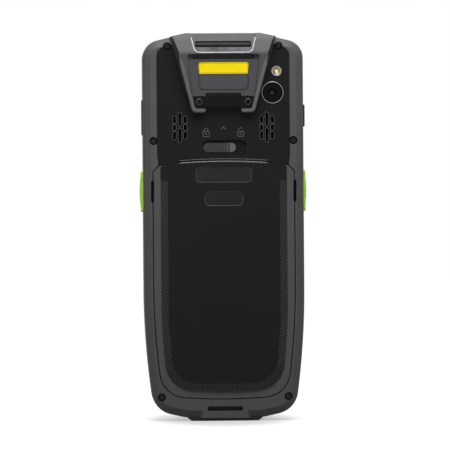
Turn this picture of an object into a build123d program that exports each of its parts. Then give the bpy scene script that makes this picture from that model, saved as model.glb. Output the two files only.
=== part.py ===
from build123d import *
import os
from math import atan2, cos, degrees, sin, sqrt

# Handheld data terminal with a raised scanner hood and a hinged, latched battery cover.
# Frame: +Z up the device, screen towards -Y, back towards +Y, origin on the foot's underside.
# All lengths are in millimetres.

# ---------------------------------------------------------------- housing
body_half_width = 36.5
body_top = 175.4
back_y = 10.0
split_y = -3.0
front_y = -10.5
foot_height = 1.4
wall = 2.2
front_wall = 2.0
overcut = 1.0
top_slope = 0.241
top_flat_half = body_half_width - 17.0
top_corner_radius = 8.4
top_blend = 12.0
toe_half_width = body_half_width - 19.5
toe_corner = (body_half_width - 4.2, foot_height + 3.4)
toe_radius = 11.0
toe_round = 20.0
waist_height = 37.0
waist_blend = 0.71
waist_radius = 2 * waist_blend * (waist_height - toe_corner[1]) ** 2 / (body_half_width - toe_corner[0])
rim_band = 3.4
rim_drop = 1.7
rim_round = 2.5
front_round = 3.0
heel_half = 12.2
heel_edge_half = 10.4
heel_edge_y = back_y - 2.2
heel_root_y = split_y + 5.0
heel_seam_land = 0.4

# ---------------------------------------------------------------- scanner hood
hood_bottom = body_top - 35.7
hood_foot_half = body_half_width - 23.6
hood_base_half = hood_foot_half + 1.3
hood_top_half = hood_foot_half + 12.0
hood_foot_round = 2.4
hood_draft = 15.0
hood_root_y = back_y - 2.0
horn_top = body_top + 0.6
horn_half = hood_foot_half + 4.1
horn_round = 2.0
ridge_low_y = back_y + 3.2
ridge_high = (back_y + 7.0, body_top - 8.8)
brow_bend = (back_y + 4.8, body_top - 2.2)
brow_back_y = back_y + 0.2
brow_round = 1.2
ridge_round = 4.0
scoop_bottom = body_top - 8.6
scoop_bottom_half = hood_foot_half
scoop_flare = 0.25
scoop_radius = 2.6
scoop_low_y = back_y + 6.3
scoop_high_y = back_y - 1.4
window_drop = 4.6
window_width = 2 * scoop_bottom_half - 0.2
window_slant = 4.0
window_thickness = 1.0
window_recess = 1.7
window_corner = 1.0
window_land = 0.9
tunnel_depth = 9.0
label_depth = 1.7
label_top = body_top - 9.2
label_groove_bottom = body_top - 11.5
label_groove_depth = 2.0
label_top_half = hood_foot_half + 3.5
label_bottom_half = hood_foot_half + 1.0
label_bottom = body_top - 33.8
label_thickness = 0.6
label_floor_round = 1.5
label_corner = 0.3
label_edge = 0.3
bracket_low = body_top - 33.2
bracket_high = body_top - 28.4
bracket_half_width = label_bottom_half - 0.3
bracket_thickness = 1.2
bracket_low_round = 1.6
bracket_high_round = 0.8
bracket_sink = 0.6
bracket_screw = (bracket_half_width - 2.5, body_top - 30.8)
bracket_screw_depth = 3.0
notch_half_width = bracket_half_width - 5.6
notch_top = body_top - 26.6
strap_gap = 1.5
engraved_half_width = label_top_half - 5.7
engraved_bottom = body_top - 25.4
engraved_corner = 2.0
engraved_line = 0.3
engraved_depth = 0.15
sticker_half_width = label_top_half - 5.0
sticker_low = body_top - 18.1
sticker_high = body_top - 13.0
sticker_thickness = 0.15
sticker_taper = 0.4
sticker_corner = 1.1

# ---------------------------------------------------------------- upper back plate
plate_thickness = 1.2
plate_half_width = body_half_width - 6.3
plate_foot_half = plate_half_width - 0.7
plate_foot_z = body_top - 59.3
plate_foot_rise = 5.0
plate_side_round = 20.0
plate_corner = (plate_half_width, body_top - 6.3)
plate_corner_radius = 4.5
ledge_rise = 1.6
ledge_half_width = 20.7
ledge_bevel = 1.3
ledge_bevel_depth = 0.5
seat_clearance = 0.1
camera_at = (7.8 - plate_half_width, body_top - 26.5)
camera_radius = 5.0
camera_ring_width = 0.6
camera_proud = 0.3
camera_bore = 3.0
camera_barrel = 2.8
camera_body = 8.5
camera_body_height = 4.0
flash_at = (5.9 - plate_half_width, body_top - 16.7)
flash_radius = 2.3
flash_round = 0.3
speaker_x = plate_half_width - 10.45
speaker_slot_width = 1.4
speaker_column = 2.45
speaker_middle_slots = ((body_top - 38.6, 6.4), (body_top - 45.85, 6.6))
speaker_side_slots = ((body_top - 38.75, 3.4), (body_top - 42.2, 2.8), (body_top - 45.85, 3.6))
speaker_size = (plate_half_width - 19.8, 16.0)
speaker_corner = 1.5
speaker_height = 3.6
speaker_z = body_top - 42.4
speaker_gap = 0.4
slot_rim_width = 0.35
slot_rim_height = 0.15

# ---------------------------------------------------------------- battery cover
seam_gap = 0.2
seam_line = 0.3
seam_bottom = foot_height + 8.2
seam_side = body_half_width - 4.2
seam_corner = (seam_side - 3.7, seam_bottom + 1.5)
seam_corner_radius = 12.0
seam_waist = waist_height + 7.0
seam_waist_radius = 10.03 * (seam_waist - seam_corner[1])
seam_side_top = plate_foot_z - 2.9
seam_top_round = 1.5
seam_bow_radius = 200.0
seam_bevel_reach = 6.0
cover_thickness = 1.8
panel_side = seam_side - 3.6
panel_bottom = seam_bottom + 3.8
panel_corner = (panel_side - 2.5, panel_bottom + 0.9)
panel_corner_radius = 13.0
panel_waist_radius = 8.42 * (seam_waist - panel_corner[1])
panel_top_land = 0.55
panel_thickness = 0.9
panel_crown = 0.7
caption_recess = (25.3, 7.0)
caption_corner = 1.6
caption_z = plate_foot_z - 4.4
badge_recess = (17.4, 6.5)
badge_corner = 2.4
badge_z = plate_foot_z - 15.25
recess_depth = 0.3
pry_slot = (10.0, 1.4)
pry_slot_z = plate_foot_z - 11.8
seal_side = seam_side - 1.2
seal_corner = (seal_side - 4.5, seam_bottom + 5.0)
seal_corner_radius = 7.0
seal_waist = seam_waist - 3.0
seal_waist_radius = 7.58 * (seal_waist - seal_corner[1])
seal_top = seam_side_top - 0.9
seal_width = 1.0
seal_depth = 0.5
seal_proud = 0.15
bay_inset = 2.2
bay_floor_y = back_y - 8.2
bay_floor_thickness = 1.2
hook_x = 15.0
hook_width = 6.0
hook_leg_low = seam_bottom + 1.3
hook_leg_high = seam_bottom + 2.3
hook_toe_z = seam_bottom - 1.4
hook_back_y = back_y - 3.7
hook_front_y = back_y - 2.7
hook_pocket_y = back_y - 4.4
hook_pocket_low = seam_bottom - 1.9
hook_pocket_high = seam_bottom + 4.3
lip_under_y = back_y - 2.4
keeper_x = 9.0
keeper_width = 4.0
keeper_z = (plate_foot_z - 2.1, plate_foot_z - 0.7)
keeper_lip_z = plate_foot_z + 0.5
keeper_back_y = back_y - 5.0
keeper_lip_y = back_y - 3.7

# ---------------------------------------------------------------- latch
latch_travel = 4.2
latch_end_gap = 0.4
slot_left = -10.7
slot_right = 9.5
slot_low = plate_foot_z + 5.5
slot_high = plate_foot_z + 11.4
knob_left = -5.6
knob_right = 9.1
knob_low = plate_foot_z + 5.9
knob_high = plate_foot_z + 10.1
knob_thickness = 1.7
knob_sunk = 0.2
knob_travel = 0.6
knob_rib_pitch = 0.8
knob_rib_count = 9
knob_groove_depth = 0.3
latch_cavity_y = back_y - 5.6
latch_block_half = 16.4
latch_block_top = plate_foot_z + 15.4
latch_block_height = 20.0
bolt_low = plate_foot_z + 2.9
bolt_high = plate_foot_z + 12.5
bolt_back_y = back_y - 3.4
bolt_thickness = 2.0
bolt_margin = 0.5
bolt_gap = 0.2
bolt_hook_y = back_y - 2.2
bolt_hook_z = plate_foot_z + 0.9

# ---------------------------------------------------------------- side keys
trigger_z = (plate_foot_z - 21.1, plate_foot_z - 2.2)
trigger_y = (split_y + 1.4, split_y + 8.0)
trigger_proud = 1.0
trigger_travel = 0.8
power_z = (body_top - 42.0, body_top - 31.7)
power_y = (split_y + 3.4, split_y + 7.4)
power_proud = 0.9
rocker_z = (body_top - 45.6, body_top - 29.2)
rocker_y = power_y
rocker_proud = 0.6
key_clearance = 0.2
flange_rim = 0.8
flange_thickness = 0.6
side_key_corner = 1.2
side_key_round = 0.7
switch_rib_z = body_top - 35.9
switch_rib_length = 17.0
switch_strip_width = 3.6
switch_strip_y = split_y + 5.8
switch_strip_thickness = 0.6
switch_dome_radius = 1.5
switch_dome_shift = 0.4
trigger_switch_z = (plate_foot_z - 23.1, plate_foot_z - 0.1)
upper_switch_z = (body_top - 43.9, body_top - 27.9)

# ---------------------------------------------------------------- front
glass_bottom = 63.7
glass_top = body_top - 12.7
glass_size = (2 * body_half_width - 9.0, glass_top - glass_bottom)
glass_radius = 4.0
glass_z = (glass_bottom + glass_top) / 2
glass_thickness = 1.3
lcd_size = (glass_size[0] - 7.4, glass_size[1] - 5.0)
midframe_y = split_y - 2.0
midframe_thickness = 1.2
board_thickness = 1.0
earpiece_z = body_top - 7.2
earpiece_slot = (12.0, 1.6)
mesh_sink = 0.4
led_x = 17.0
led_radius = 0.9
keycap_proud = 0.8
keycap_travel = 0.5
keycap_round = 0.5
keypad_wall_gap = 0.2
key_radius = 2.4
scan_key_z = glass_bottom - 11.2
scan_key_size = (body_half_width - 16.5, 10.0)
scan_key_radius = 4.9
side_key_size = (scan_key_size[0] - 6.0, 7.6)
digit_top_z = glass_bottom - 22.7
digit_foot_z = foot_height + 11.4
digit_pitch = ((body_half_width - 0.5) / 2, (digit_top_z - digit_foot_z) / 3)
digit_size = (digit_pitch[0] - 3.8, digit_pitch[1] - 2.8)
mat_thickness = 1.0
mat_ends = (foot_height + 6.6, glass_bottom - 5.7)
mat_corner = 6.0
microphone_z = foot_height + 6.6
microphone_radius = 0.6

# ---------------------------------------------------------------- inside
board_half_width = body_half_width - 9.0
board_z = (foot_height + 16.6, body_top - 15.4)
board_corner = 2.0
shield_layout = (
    ((-12.0, 96.0), (26.0, 24.0)),
    ((14.0, 92.0), (20.0, 32.0)),
    ((0.0, 52.0), (38.0, 18.0)),
)
shield_corner = 1.0
engine_z = body_top - 17.4
engine_size = (22.3, 13.4)
engine_corner = 1.0
engine_height = 7.8
earpiece_size = (14.0, 6.0)
earpiece_corner = 1.5
earpiece_drop = 1.4
earpiece_height = 2.4
motor_at = (body_half_width - 12.5, body_top - 20.4)
motor_radius = 4.0
motor_height = 2.7

# ---------------------------------------------------------------- battery
battery_half_width = seal_side - 5.1
battery_z = (seam_bottom + 13.4, seal_top - 3.7)
battery_thickness = 5.8
battery_corner = 2.0
battery_notch = (16.0, 3.0)
battery_notch_rise = 3.0
battery_notch_depth = 1.0
contact_block_width = 16.0

# ---------------------------------------------------------------- foot and strap slot
foot_half_width = toe_half_width - 1.8
foot_depth = 15.0
dock_pitch = 3.0
dock_count = 7
dock_radius = 0.8
dock_y = -3.0
dock_recess = 0.2
strap_slot_width = 16.2
strap_slot_height = 2.05
strap_slot_z = foot_height + 4.25
strap_exit_y = back_y - 6.5
gasket_inset = 0.8
gasket_width = 0.7
gasket_height = 0.9

# ---------------------------------------------------------------- fastenings
screw_points = [
    (body_half_width - 11.2, body_top - 5.2),
    (body_half_width - 4.75, body_top - 48.2),
    (body_half_width - 7.7, foot_height + 9.6),
]
screw_depth = 4.0
screw_tip_gap = 0.5
screw_head_radius = 1.7
screw_head_height = 1.0
screw_shank_radius = 0.9
screw_recess = 1.6
screw_clearance = 0.15
boss_radius = 2.4

os.makedirs("parts", exist_ok=True)


def level(y):
    """Plane across the device at depth y: its x is the device's X, its y is the height."""
    return Plane(origin=(0, y, 0), x_dir=(1, 0, 0), z_dir=(0, -1, 0))


def outward(y):
    """The same plane seen from behind, so that a positive extrusion grows away from the back."""
    return Plane(origin=(0, y, 0), x_dir=(-1, 0, 0), z_dir=(0, 1, 0))


def closed_outline(corners):
    """Face with straight runs and rounded corners (x, z, radius), mirrored about the centre."""
    whole = corners + [(-x, z, r) for x, z, r in reversed(corners) if x > 0]
    with BuildSketch() as face:
        with BuildLine():
            FilletPolyline(
                *[(x, z) for x, z, _ in whole], radius=[r for _, _, r in whole], close=True
            )
        make_face()
    return face.sketch


def inset(face, distance):
    """The same face with its edge moved inwards by a distance."""
    with BuildSketch() as smaller:
        add(face)
        offset(amount=-distance)
    return smaller.sketch


def both_sides(points):
    """Each point and its mirror image across the centre line."""
    return [(x, z) for x, z in points] + [(-x, z) for x, z in points]


def save(part, name):
    """Labels a finished piece and writes its STEP file."""
    part.label = name
    export_step(part, f"parts/{name}.step")


# ---------------------------------------------------------------- shared outlines
body_outline = closed_outline(
    [
        (toe_half_width, foot_height, toe_round),
        (*toe_corner, toe_radius),
        (body_half_width, waist_height, waist_radius),
        (body_half_width, body_top - top_slope * (body_half_width - top_flat_half), top_corner_radius),
        (top_flat_half, body_top, top_blend),
    ]
)
inner_outline = inset(body_outline, wall)

ledge_radius = (plate_foot_half**2 + ledge_rise**2) / (2 * ledge_rise)
ledge_centre_z = plate_foot_z + ledge_rise - ledge_radius
ledge_top = plate_foot_z + ledge_rise


def seam_face(gap):
    """Outline of the cover opening, moved inwards by a gap."""
    side = seam_side - gap
    shoulder = seam_side_top + gap - gap * sqrt(2)
    with BuildSketch() as face:
        add(
            closed_outline(
                [
                    (0, seam_bottom + gap, seam_bow_radius),
                    (seam_corner[0] - gap, seam_corner[1] + gap, seam_corner_radius),
                    (side, seam_waist, seam_waist_radius),
                    (side, shoulder, seam_top_round),
                    (side - seam_bevel_reach, shoulder + seam_bevel_reach, 0),
                ]
            )
        )
        with Locations((0, ledge_centre_z)):
            Circle(ledge_radius - gap, mode=Mode.INTERSECT)
    return face.sketch


seam_outline = seam_face(0)
cover_outline = seam_face(seam_line)

with BuildSketch() as panel_sketch:
    add(
        closed_outline(
            [
                (0, panel_bottom, seam_bow_radius),
                (*panel_corner, panel_corner_radius),
                (panel_side, seam_waist, panel_waist_radius),
                (panel_side, ledge_top, 0),
            ]
        )
    )
    with Locations((0, ledge_centre_z)):
        Circle(ledge_radius - seam_gap - panel_top_land, mode=Mode.INTERSECT)
panel_outline = panel_sketch.sketch

seal_outline = closed_outline(
    [
        (*seal_corner, seal_corner_radius),
        (seal_side, seal_waist, seal_waist_radius),
        (seal_side, seal_top, seam_top_round),
    ]
)
bay_outline = inset(seal_outline, bay_inset)


def plate_face(gap):
    """Outline of the upper back plate, moved inwards by a gap."""
    top_z = plate_corner[1] + top_slope * (plate_corner[0] - top_flat_half)
    with BuildSketch() as face:
        add(
            closed_outline(
                [
                    (plate_foot_half - gap, plate_foot_z - ledge_rise, 0),
                    (plate_half_width - gap, plate_foot_z + plate_foot_rise, plate_side_round),
                    (plate_half_width - gap, plate_corner[1] - gap, plate_corner_radius),
                    (top_flat_half, top_z - gap, 0),
                ]
            )
        )
        with Locations((0, ledge_centre_z)):
            Circle(ledge_radius + gap, mode=Mode.SUBTRACT)
    return face.sketch


hood_outline = closed_outline(
    [
        (hood_base_half, hood_bottom, hood_foot_round),
        (hood_top_half, horn_top + overcut, 0),
    ]
)

# ---------------------------------------------------------------- derived planes
cover_seat_y = back_y - cover_thickness - seam_gap
cover_under_y = back_y - cover_thickness
plate_seat_y = back_y - plate_thickness
cavity_y = bay_floor_y - bay_floor_thickness
upper_cavity_y = plate_seat_y - plate_thickness

ridge_angle = atan2(ridge_high[0] - ridge_low_y, ridge_high[1] - hood_bottom)
scoop_run = scoop_low_y - scoop_high_y
scoop_rise = body_top - scoop_bottom
scoop_angle = atan2(scoop_run, scoop_rise)


def ridge_plane(depth):
    """Plane parallel to the hood's ridge, sunk below it by a depth."""
    return Plane(
        origin=(0, ridge_low_y - depth, hood_bottom),
        x_dir=(-1, 0, 0),
        z_dir=(0, cos(ridge_angle), -sin(ridge_angle)),
    )


scoop_plane = Plane(
    origin=(0, scoop_low_y, scoop_bottom),
    x_dir=(-1, 0, 0),
    z_dir=(0, cos(scoop_angle), sin(scoop_angle)),
)


def above(face, plane):
    """Prism over a face of the back view, kept only on the outer side of a slanted plane."""
    with BuildPart() as prism:
        with BuildSketch(outward(0)):
            add(face)
        extrude(amount=2 * ridge_high[0])
        split(bisect_by=plane, keep=Keep.TOP)
    return prism.part


def slab(face, plane, thickness):
    """Sheet of even thickness over a face of the back view, lying on a slanted plane."""
    with BuildPart() as sheet:
        add(above(face, plane))
        split(bisect_by=plane.offset(thickness), keep=Keep.BOTTOM)
    return sheet.part


# ---------------------------------------------------------------- outer form of the back
with BuildPart() as hood:
    with BuildSketch(outward(hood_root_y)):
        add(hood_outline)
    extrude(amount=back_y - hood_root_y)
    with BuildSketch(outward(back_y)):
        add(hood_outline)
    extrude(amount=ridge_high[0] + overcut - back_y, taper=hood_draft)
    with BuildSketch(Plane.YZ):
        with BuildLine():
            FilletPolyline(
                (hood_root_y, hood_bottom - overcut),
                (ridge_low_y, hood_bottom),
                ridge_high,
                brow_bend,
                (brow_back_y, horn_top),
                (hood_root_y, horn_top),
                radius=[0, brow_round, ridge_round, brow_round, 0, 0],
                close=True,
            )
        make_face()
    extrude(amount=body_half_width, both=True, mode=Mode.INTERSECT)
    with BuildSketch(outward(hood_root_y - overcut)):
        add(
            closed_outline(
                [
                    (body_half_width, hood_bottom - overcut, 0),
                    (body_half_width, horn_top - top_slope * (body_half_width - horn_half), 0),
                    (horn_half, horn_top, horn_round),
                ]
            )
        )
    extrude(amount=ridge_high[0], mode=Mode.INTERSECT)

with BuildPart() as rear_form:
    with BuildSketch(outward(split_y)):
        add(body_outline)
    extrude(amount=back_y - split_y)
    back_face = rear_form.faces().sort_by(Axis.Y)[-1]
    chamfer(back_face.edges(), length=rim_band, length2=rim_drop, reference=back_face)
    fillet(
        rear_form.edges().filter_by_position(
            Axis.Y, back_y - rim_drop - seat_clearance, back_y - rim_drop + seat_clearance
        ),
        rim_round,
    )
    add(hood.part)
    with BuildSketch(Plane.XY.offset(foot_height)):
        Polygon(
            (heel_half, heel_root_y),
            (heel_half, heel_edge_y),
            (heel_edge_half, back_y),
            (-heel_edge_half, back_y),
            (-heel_half, heel_edge_y),
            (-heel_half, heel_root_y),
            align=None,
        )
    extrude(amount=seam_bottom - foot_height - heel_seam_land)

# ---------------------------------------------------------------- rear housing
scoop_outline = closed_outline(
    [
        (scoop_bottom_half, scoop_bottom, scoop_radius),
        (scoop_bottom_half + scoop_flare * (horn_top - scoop_bottom), horn_top + overcut, 0),
    ]
)
label_outline = closed_outline(
    [(label_bottom_half, label_bottom, label_floor_round), (label_top_half, label_top, window_corner)]
)
groove_outline = closed_outline(
    [
        (label_bottom_half, label_groove_bottom, label_corner),
        (label_bottom_half, label_top, label_corner),
    ]
)
channel_outline = closed_outline(
    [
        (notch_half_width, hood_bottom - overcut, 0),
        (notch_half_width, notch_top, bracket_high_round),
    ]
)
window_along = (body_top - window_drop - scoop_bottom) / cos(scoop_angle)
bolt_left = slot_left - bolt_margin
bolt_right = slot_right + latch_travel + bolt_margin
bolt_pocket_left = bolt_left - latch_travel - latch_end_gap
bolt_pocket_right = bolt_right + latch_end_gap
bracket_screw_along = (bracket_screw[1] - hood_bottom) / cos(ridge_angle)
side_inner = body_half_width - wall
bay_half = seal_side - bay_inset
bay_wall_outer = bay_half + bay_floor_thickness
switch_rib_x = bay_wall_outer - bay_floor_thickness / 2
side_keys = {
    "trigger_left": (1, trigger_y, trigger_z, trigger_proud),
    "trigger_right": (-1, trigger_y, trigger_z, trigger_proud),
    "power_key": (-1, power_y, power_z, power_proud),
    "volume_rocker": (1, rocker_y, rocker_z, rocker_proud),
}


def side_plane(side, x):
    """Plane on one flank of the device (side +1 or -1), facing outwards, its y is the height."""
    return Plane(origin=(side * x, 0, 0), x_dir=(0, side, 0), z_dir=(side, 0, 0))



def speaker_face(grow):
    """Both groups of speaker slots, each slot widened all round by an amount."""
    with BuildSketch() as slots:
        for centre_x in (speaker_x, -speaker_x):
            for slot_z, slot_length in speaker_middle_slots:
                with Locations((centre_x, slot_z)):
                    SlotOverall(slot_length + 2 * grow, speaker_slot_width + 2 * grow, rotation=90)
            for slot_z, slot_length in speaker_side_slots:
                with Locations(
                    (centre_x - speaker_column, slot_z), (centre_x + speaker_column, slot_z)
                ):
                    SlotOverall(slot_length + 2 * grow, speaker_slot_width + 2 * grow, rotation=90)
    return slots.sketch


speaker_slots = speaker_face(0)


with BuildPart() as rear_housing:
    add(rear_form.part)
    # Scanner scoop with the window's seat and the light path into the electronics bay.
    add(above(scoop_outline, scoop_plane), mode=Mode.SUBTRACT)
    with BuildSketch(scoop_plane):
        with Locations((0, window_along)):
            RectangleRounded(window_width, window_slant, window_corner)
    extrude(amount=-window_recess, mode=Mode.SUBTRACT)
    with BuildSketch(scoop_plane):
        with Locations((0, window_along)):
            RectangleRounded(
                window_width - 2 * window_land, window_slant - 2 * window_land, window_corner / 2
            )
    extrude(amount=-window_recess - tunnel_depth, mode=Mode.SUBTRACT)
    # Label recess, the deeper shadow groove under the brow and the strap channel.
    add(above(label_outline, ridge_plane(label_depth)), mode=Mode.SUBTRACT)
    add(above(groove_outline, ridge_plane(label_depth + label_groove_depth)), mode=Mode.SUBTRACT)
    add(above(channel_outline, ridge_plane(label_depth + strap_gap)), mode=Mode.SUBTRACT)
    with BuildSketch(ridge_plane(label_depth)):
        with Locations(*both_sides([(bracket_screw[0], bracket_screw_along)])):
            Circle(screw_shank_radius)
    extrude(amount=-bracket_screw_depth, mode=Mode.SUBTRACT)
    # Seat of the upper back plate.
    with BuildSketch(outward(plate_seat_y)):
        add(plate_face(0))
        add(hood_outline, mode=Mode.SUBTRACT)
    extrude(amount=plate_thickness + overcut, mode=Mode.SUBTRACT)
    # Cover opening with its pry slots, battery bay and the seal's groove around it.
    with BuildSketch(outward(cover_seat_y)):
        add(seam_outline)
        with Locations(*both_sides([(seam_side, pry_slot_z)])):
            SlotOverall(*pry_slot, rotation=90)
    extrude(amount=cover_thickness + overcut, mode=Mode.SUBTRACT)
    with BuildSketch(outward(bay_floor_y)):
        add(bay_outline)
    extrude(amount=cover_seat_y - bay_floor_y, mode=Mode.SUBTRACT)
    with BuildSketch(outward(cover_seat_y - seal_depth)):
        add(seal_outline)
        add(inset(seal_outline, seal_width), mode=Mode.SUBTRACT)
    extrude(amount=seal_depth, mode=Mode.SUBTRACT)
    # Electronics cavity, open towards the front housing.
    with BuildSketch(outward(split_y)):
        add(inner_outline)
        with Locations(*both_sides(screw_points)):
            Circle(boss_radius, mode=Mode.SUBTRACT)
    extrude(amount=cavity_y - split_y, mode=Mode.SUBTRACT)
    with BuildSketch(outward(cavity_y)):
        add(inner_outline)
        with Locations(*both_sides(screw_points)):
            Circle(boss_radius, mode=Mode.SUBTRACT)
        with Locations((0, bolt_low - overcut)):
            Rectangle(2 * body_half_width, body_top, align=(Align.CENTER, Align.MAX), mode=Mode.SUBTRACT)
        with Locations((0, latch_block_top)):
            Rectangle(
                2 * latch_block_half,
                latch_block_height,
                align=(Align.CENTER, Align.MAX),
                mode=Mode.SUBTRACT,
            )
        with Locations((switch_rib_x, switch_rib_z), (-switch_rib_x, switch_rib_z)):
            Rectangle(bay_floor_thickness, switch_rib_length, mode=Mode.SUBTRACT)
    extrude(amount=upper_cavity_y - cavity_y, mode=Mode.SUBTRACT)
    with BuildSketch(outward(cavity_y)):
        with Locations((0, (bolt_low + latch_block_top) / 2)):
            Rectangle(2 * latch_block_half, latch_block_top - bolt_low)
    extrude(amount=latch_cavity_y - cavity_y, mode=Mode.SUBTRACT)
    with BuildSketch(outward(cavity_y)):
        add(inner_outline)
        with Locations(*both_sides(screw_points)):
            Circle(boss_radius, mode=Mode.SUBTRACT)
        Rectangle(2 * bay_wall_outer, 2 * body_top, mode=Mode.SUBTRACT)
        Rectangle(2 * body_half_width, 2 * waist_height, mode=Mode.SUBTRACT)
        with Locations((0, bolt_low)):
            Rectangle(2 * body_half_width, body_top, align=(Align.CENTER, Align.MIN), mode=Mode.SUBTRACT)
    extrude(amount=cover_seat_y - wall / 2 - cavity_y, mode=Mode.SUBTRACT)
    # Latch pocket and the slots through which its hooks reach the cover's keepers.
    with BuildSketch(level(bolt_back_y - bolt_gap)):
        with Locations(
            ((bolt_pocket_left + bolt_pocket_right) / 2, (bolt_low + bolt_high) / 2)
        ):
            Rectangle(bolt_pocket_right - bolt_pocket_left, bolt_high - bolt_low + 4 * bolt_gap)
    extrude(amount=-(plate_seat_y - bolt_back_y + bolt_gap), mode=Mode.SUBTRACT)
    with BuildSketch(level(bolt_back_y - bolt_gap)):
        with Locations(
            (keeper_x - latch_travel / 2, (keeper_lip_z + bolt_low) / 2),
            (-keeper_x - latch_travel / 2, (keeper_lip_z + bolt_low) / 2),
        ):
            Rectangle(keeper_width + latch_travel + 2 * latch_end_gap, bolt_low - keeper_lip_z)
    extrude(amount=-(cover_seat_y - bolt_back_y + bolt_gap), mode=Mode.SUBTRACT)
    with BuildSketch(outward(keeper_back_y - latch_end_gap)):
        with Locations(*both_sides([(keeper_x, (keeper_z[0] + keeper_lip_z) / 2)])):
            Rectangle(
                keeper_width + 2 * latch_end_gap,
                keeper_lip_z - keeper_z[0] + 3 * latch_end_gap,
            )
    extrude(amount=cover_seat_y - keeper_back_y + latch_end_gap, mode=Mode.SUBTRACT)
    # Pockets for the hooks at the cover's foot, with the retaining lip above them.
    with BuildSketch(outward(hook_pocket_y)):
        with Locations(*both_sides([(hook_x, (hook_pocket_low + hook_pocket_high) / 2)])):
            Rectangle(hook_width + 2 * latch_end_gap, hook_pocket_high - hook_pocket_low)
    extrude(amount=lip_under_y - hook_pocket_y, mode=Mode.SUBTRACT)
    for x in (hook_x, -hook_x):
        with BuildSketch(outward(hook_pocket_y)):
            add(seam_outline)
            with Locations((x, (hook_pocket_low + hook_pocket_high) / 2)):
                Rectangle(
                    hook_width + 2 * latch_end_gap,
                    hook_pocket_high - hook_pocket_low,
                    mode=Mode.INTERSECT,
                )
        extrude(amount=cover_seat_y - hook_pocket_y, mode=Mode.SUBTRACT)
    # Side windows for the triggers, the power key and the rocker.
    for side, y_range, z_range, _ in side_keys.values():
        with BuildSketch(side_plane(side, side_inner - wall)):
            with Locations((side * (y_range[0] + y_range[1]) / 2, (z_range[0] + z_range[1]) / 2)):
                RectangleRounded(
                    y_range[1] - y_range[0] + 2 * key_clearance,
                    z_range[1] - z_range[0] + 2 * key_clearance,
                    side_key_corner + key_clearance,
                )
        extrude(amount=3 * wall, mode=Mode.SUBTRACT)
    # Camera, flash and speaker openings through the skin under the plate.
    with BuildSketch(level(plate_seat_y + overcut)):
        with Locations(camera_at):
            Circle(camera_bore)
        with Locations(flash_at):
            Circle(flash_radius + seat_clearance)
    extrude(amount=plate_thickness + 2 * overcut, mode=Mode.SUBTRACT)
    with BuildSketch(level(plate_seat_y + overcut)):
        add(speaker_slots)
    extrude(amount=back_y - latch_cavity_y, mode=Mode.SUBTRACT)
    # Screw recesses, clearance holes and the lower strap slot with its way out of the foot.
    with BuildSketch(level(back_y + overcut)):
        with Locations(*both_sides(screw_points)):
            Circle(screw_head_radius + screw_clearance)
    extrude(amount=screw_recess + overcut, mode=Mode.SUBTRACT)
    with BuildSketch(level(back_y + overcut)):
        with Locations(*both_sides(screw_points)):
            Circle(screw_shank_radius + screw_clearance)
    extrude(amount=back_y + overcut - split_y, mode=Mode.SUBTRACT)
    with BuildSketch(level(back_y + overcut)):
        with Locations((0, strap_slot_z)):
            SlotOverall(strap_slot_width, strap_slot_height)
    extrude(amount=back_y + overcut - strap_exit_y, mode=Mode.SUBTRACT)
    with BuildSketch(Plane.XY):
        with Locations((0, strap_exit_y + strap_slot_height / 2)):
            Rectangle(strap_slot_width, strap_slot_height)
    extrude(amount=strap_slot_z, mode=Mode.SUBTRACT)
    # Groove for the gasket between the two housings.
    with BuildSketch(outward(split_y)):
        add(inset(body_outline, gasket_inset))
        add(inset(body_outline, gasket_inset + gasket_width), mode=Mode.SUBTRACT)
    extrude(amount=gasket_height, mode=Mode.SUBTRACT)
save(rear_housing.part, "rear_housing")

with BuildPart() as housing_gasket:
    with BuildSketch(outward(split_y)):
        add(inset(body_outline, gasket_inset))
        add(inset(body_outline, gasket_inset + gasket_width), mode=Mode.SUBTRACT)
    extrude(amount=gasket_height)
save(housing_gasket.part, "housing_gasket")

# ---------------------------------------------------------------- front housing
key_rows = [digit_top_z - row * digit_pitch[1] for row in range(4)]
key_columns = (-digit_pitch[0], 0, digit_pitch[0])
digit_names = ("1", "2", "3", "4", "5", "6", "7", "8", "9", "star", "0", "hash")
keycaps = {
    "scan_key": ((0, scan_key_z), scan_key_size, scan_key_radius),
    "back_key": ((-scan_key_size[0], scan_key_z), side_key_size, key_radius),
    "menu_key": ((scan_key_size[0], scan_key_z), side_key_size, key_radius),
}
for index, digit in enumerate(digit_names):
    place = (key_columns[index % 3], key_rows[index // 3])
    keycaps[f"key_{digit}"] = (place, digit_size, key_radius)

glass_back_y = front_y + glass_thickness
front_inner_y = front_y + front_wall
mat_y = front_inner_y + keypad_wall_gap + flange_thickness + keycap_travel + keypad_wall_gap

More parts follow.
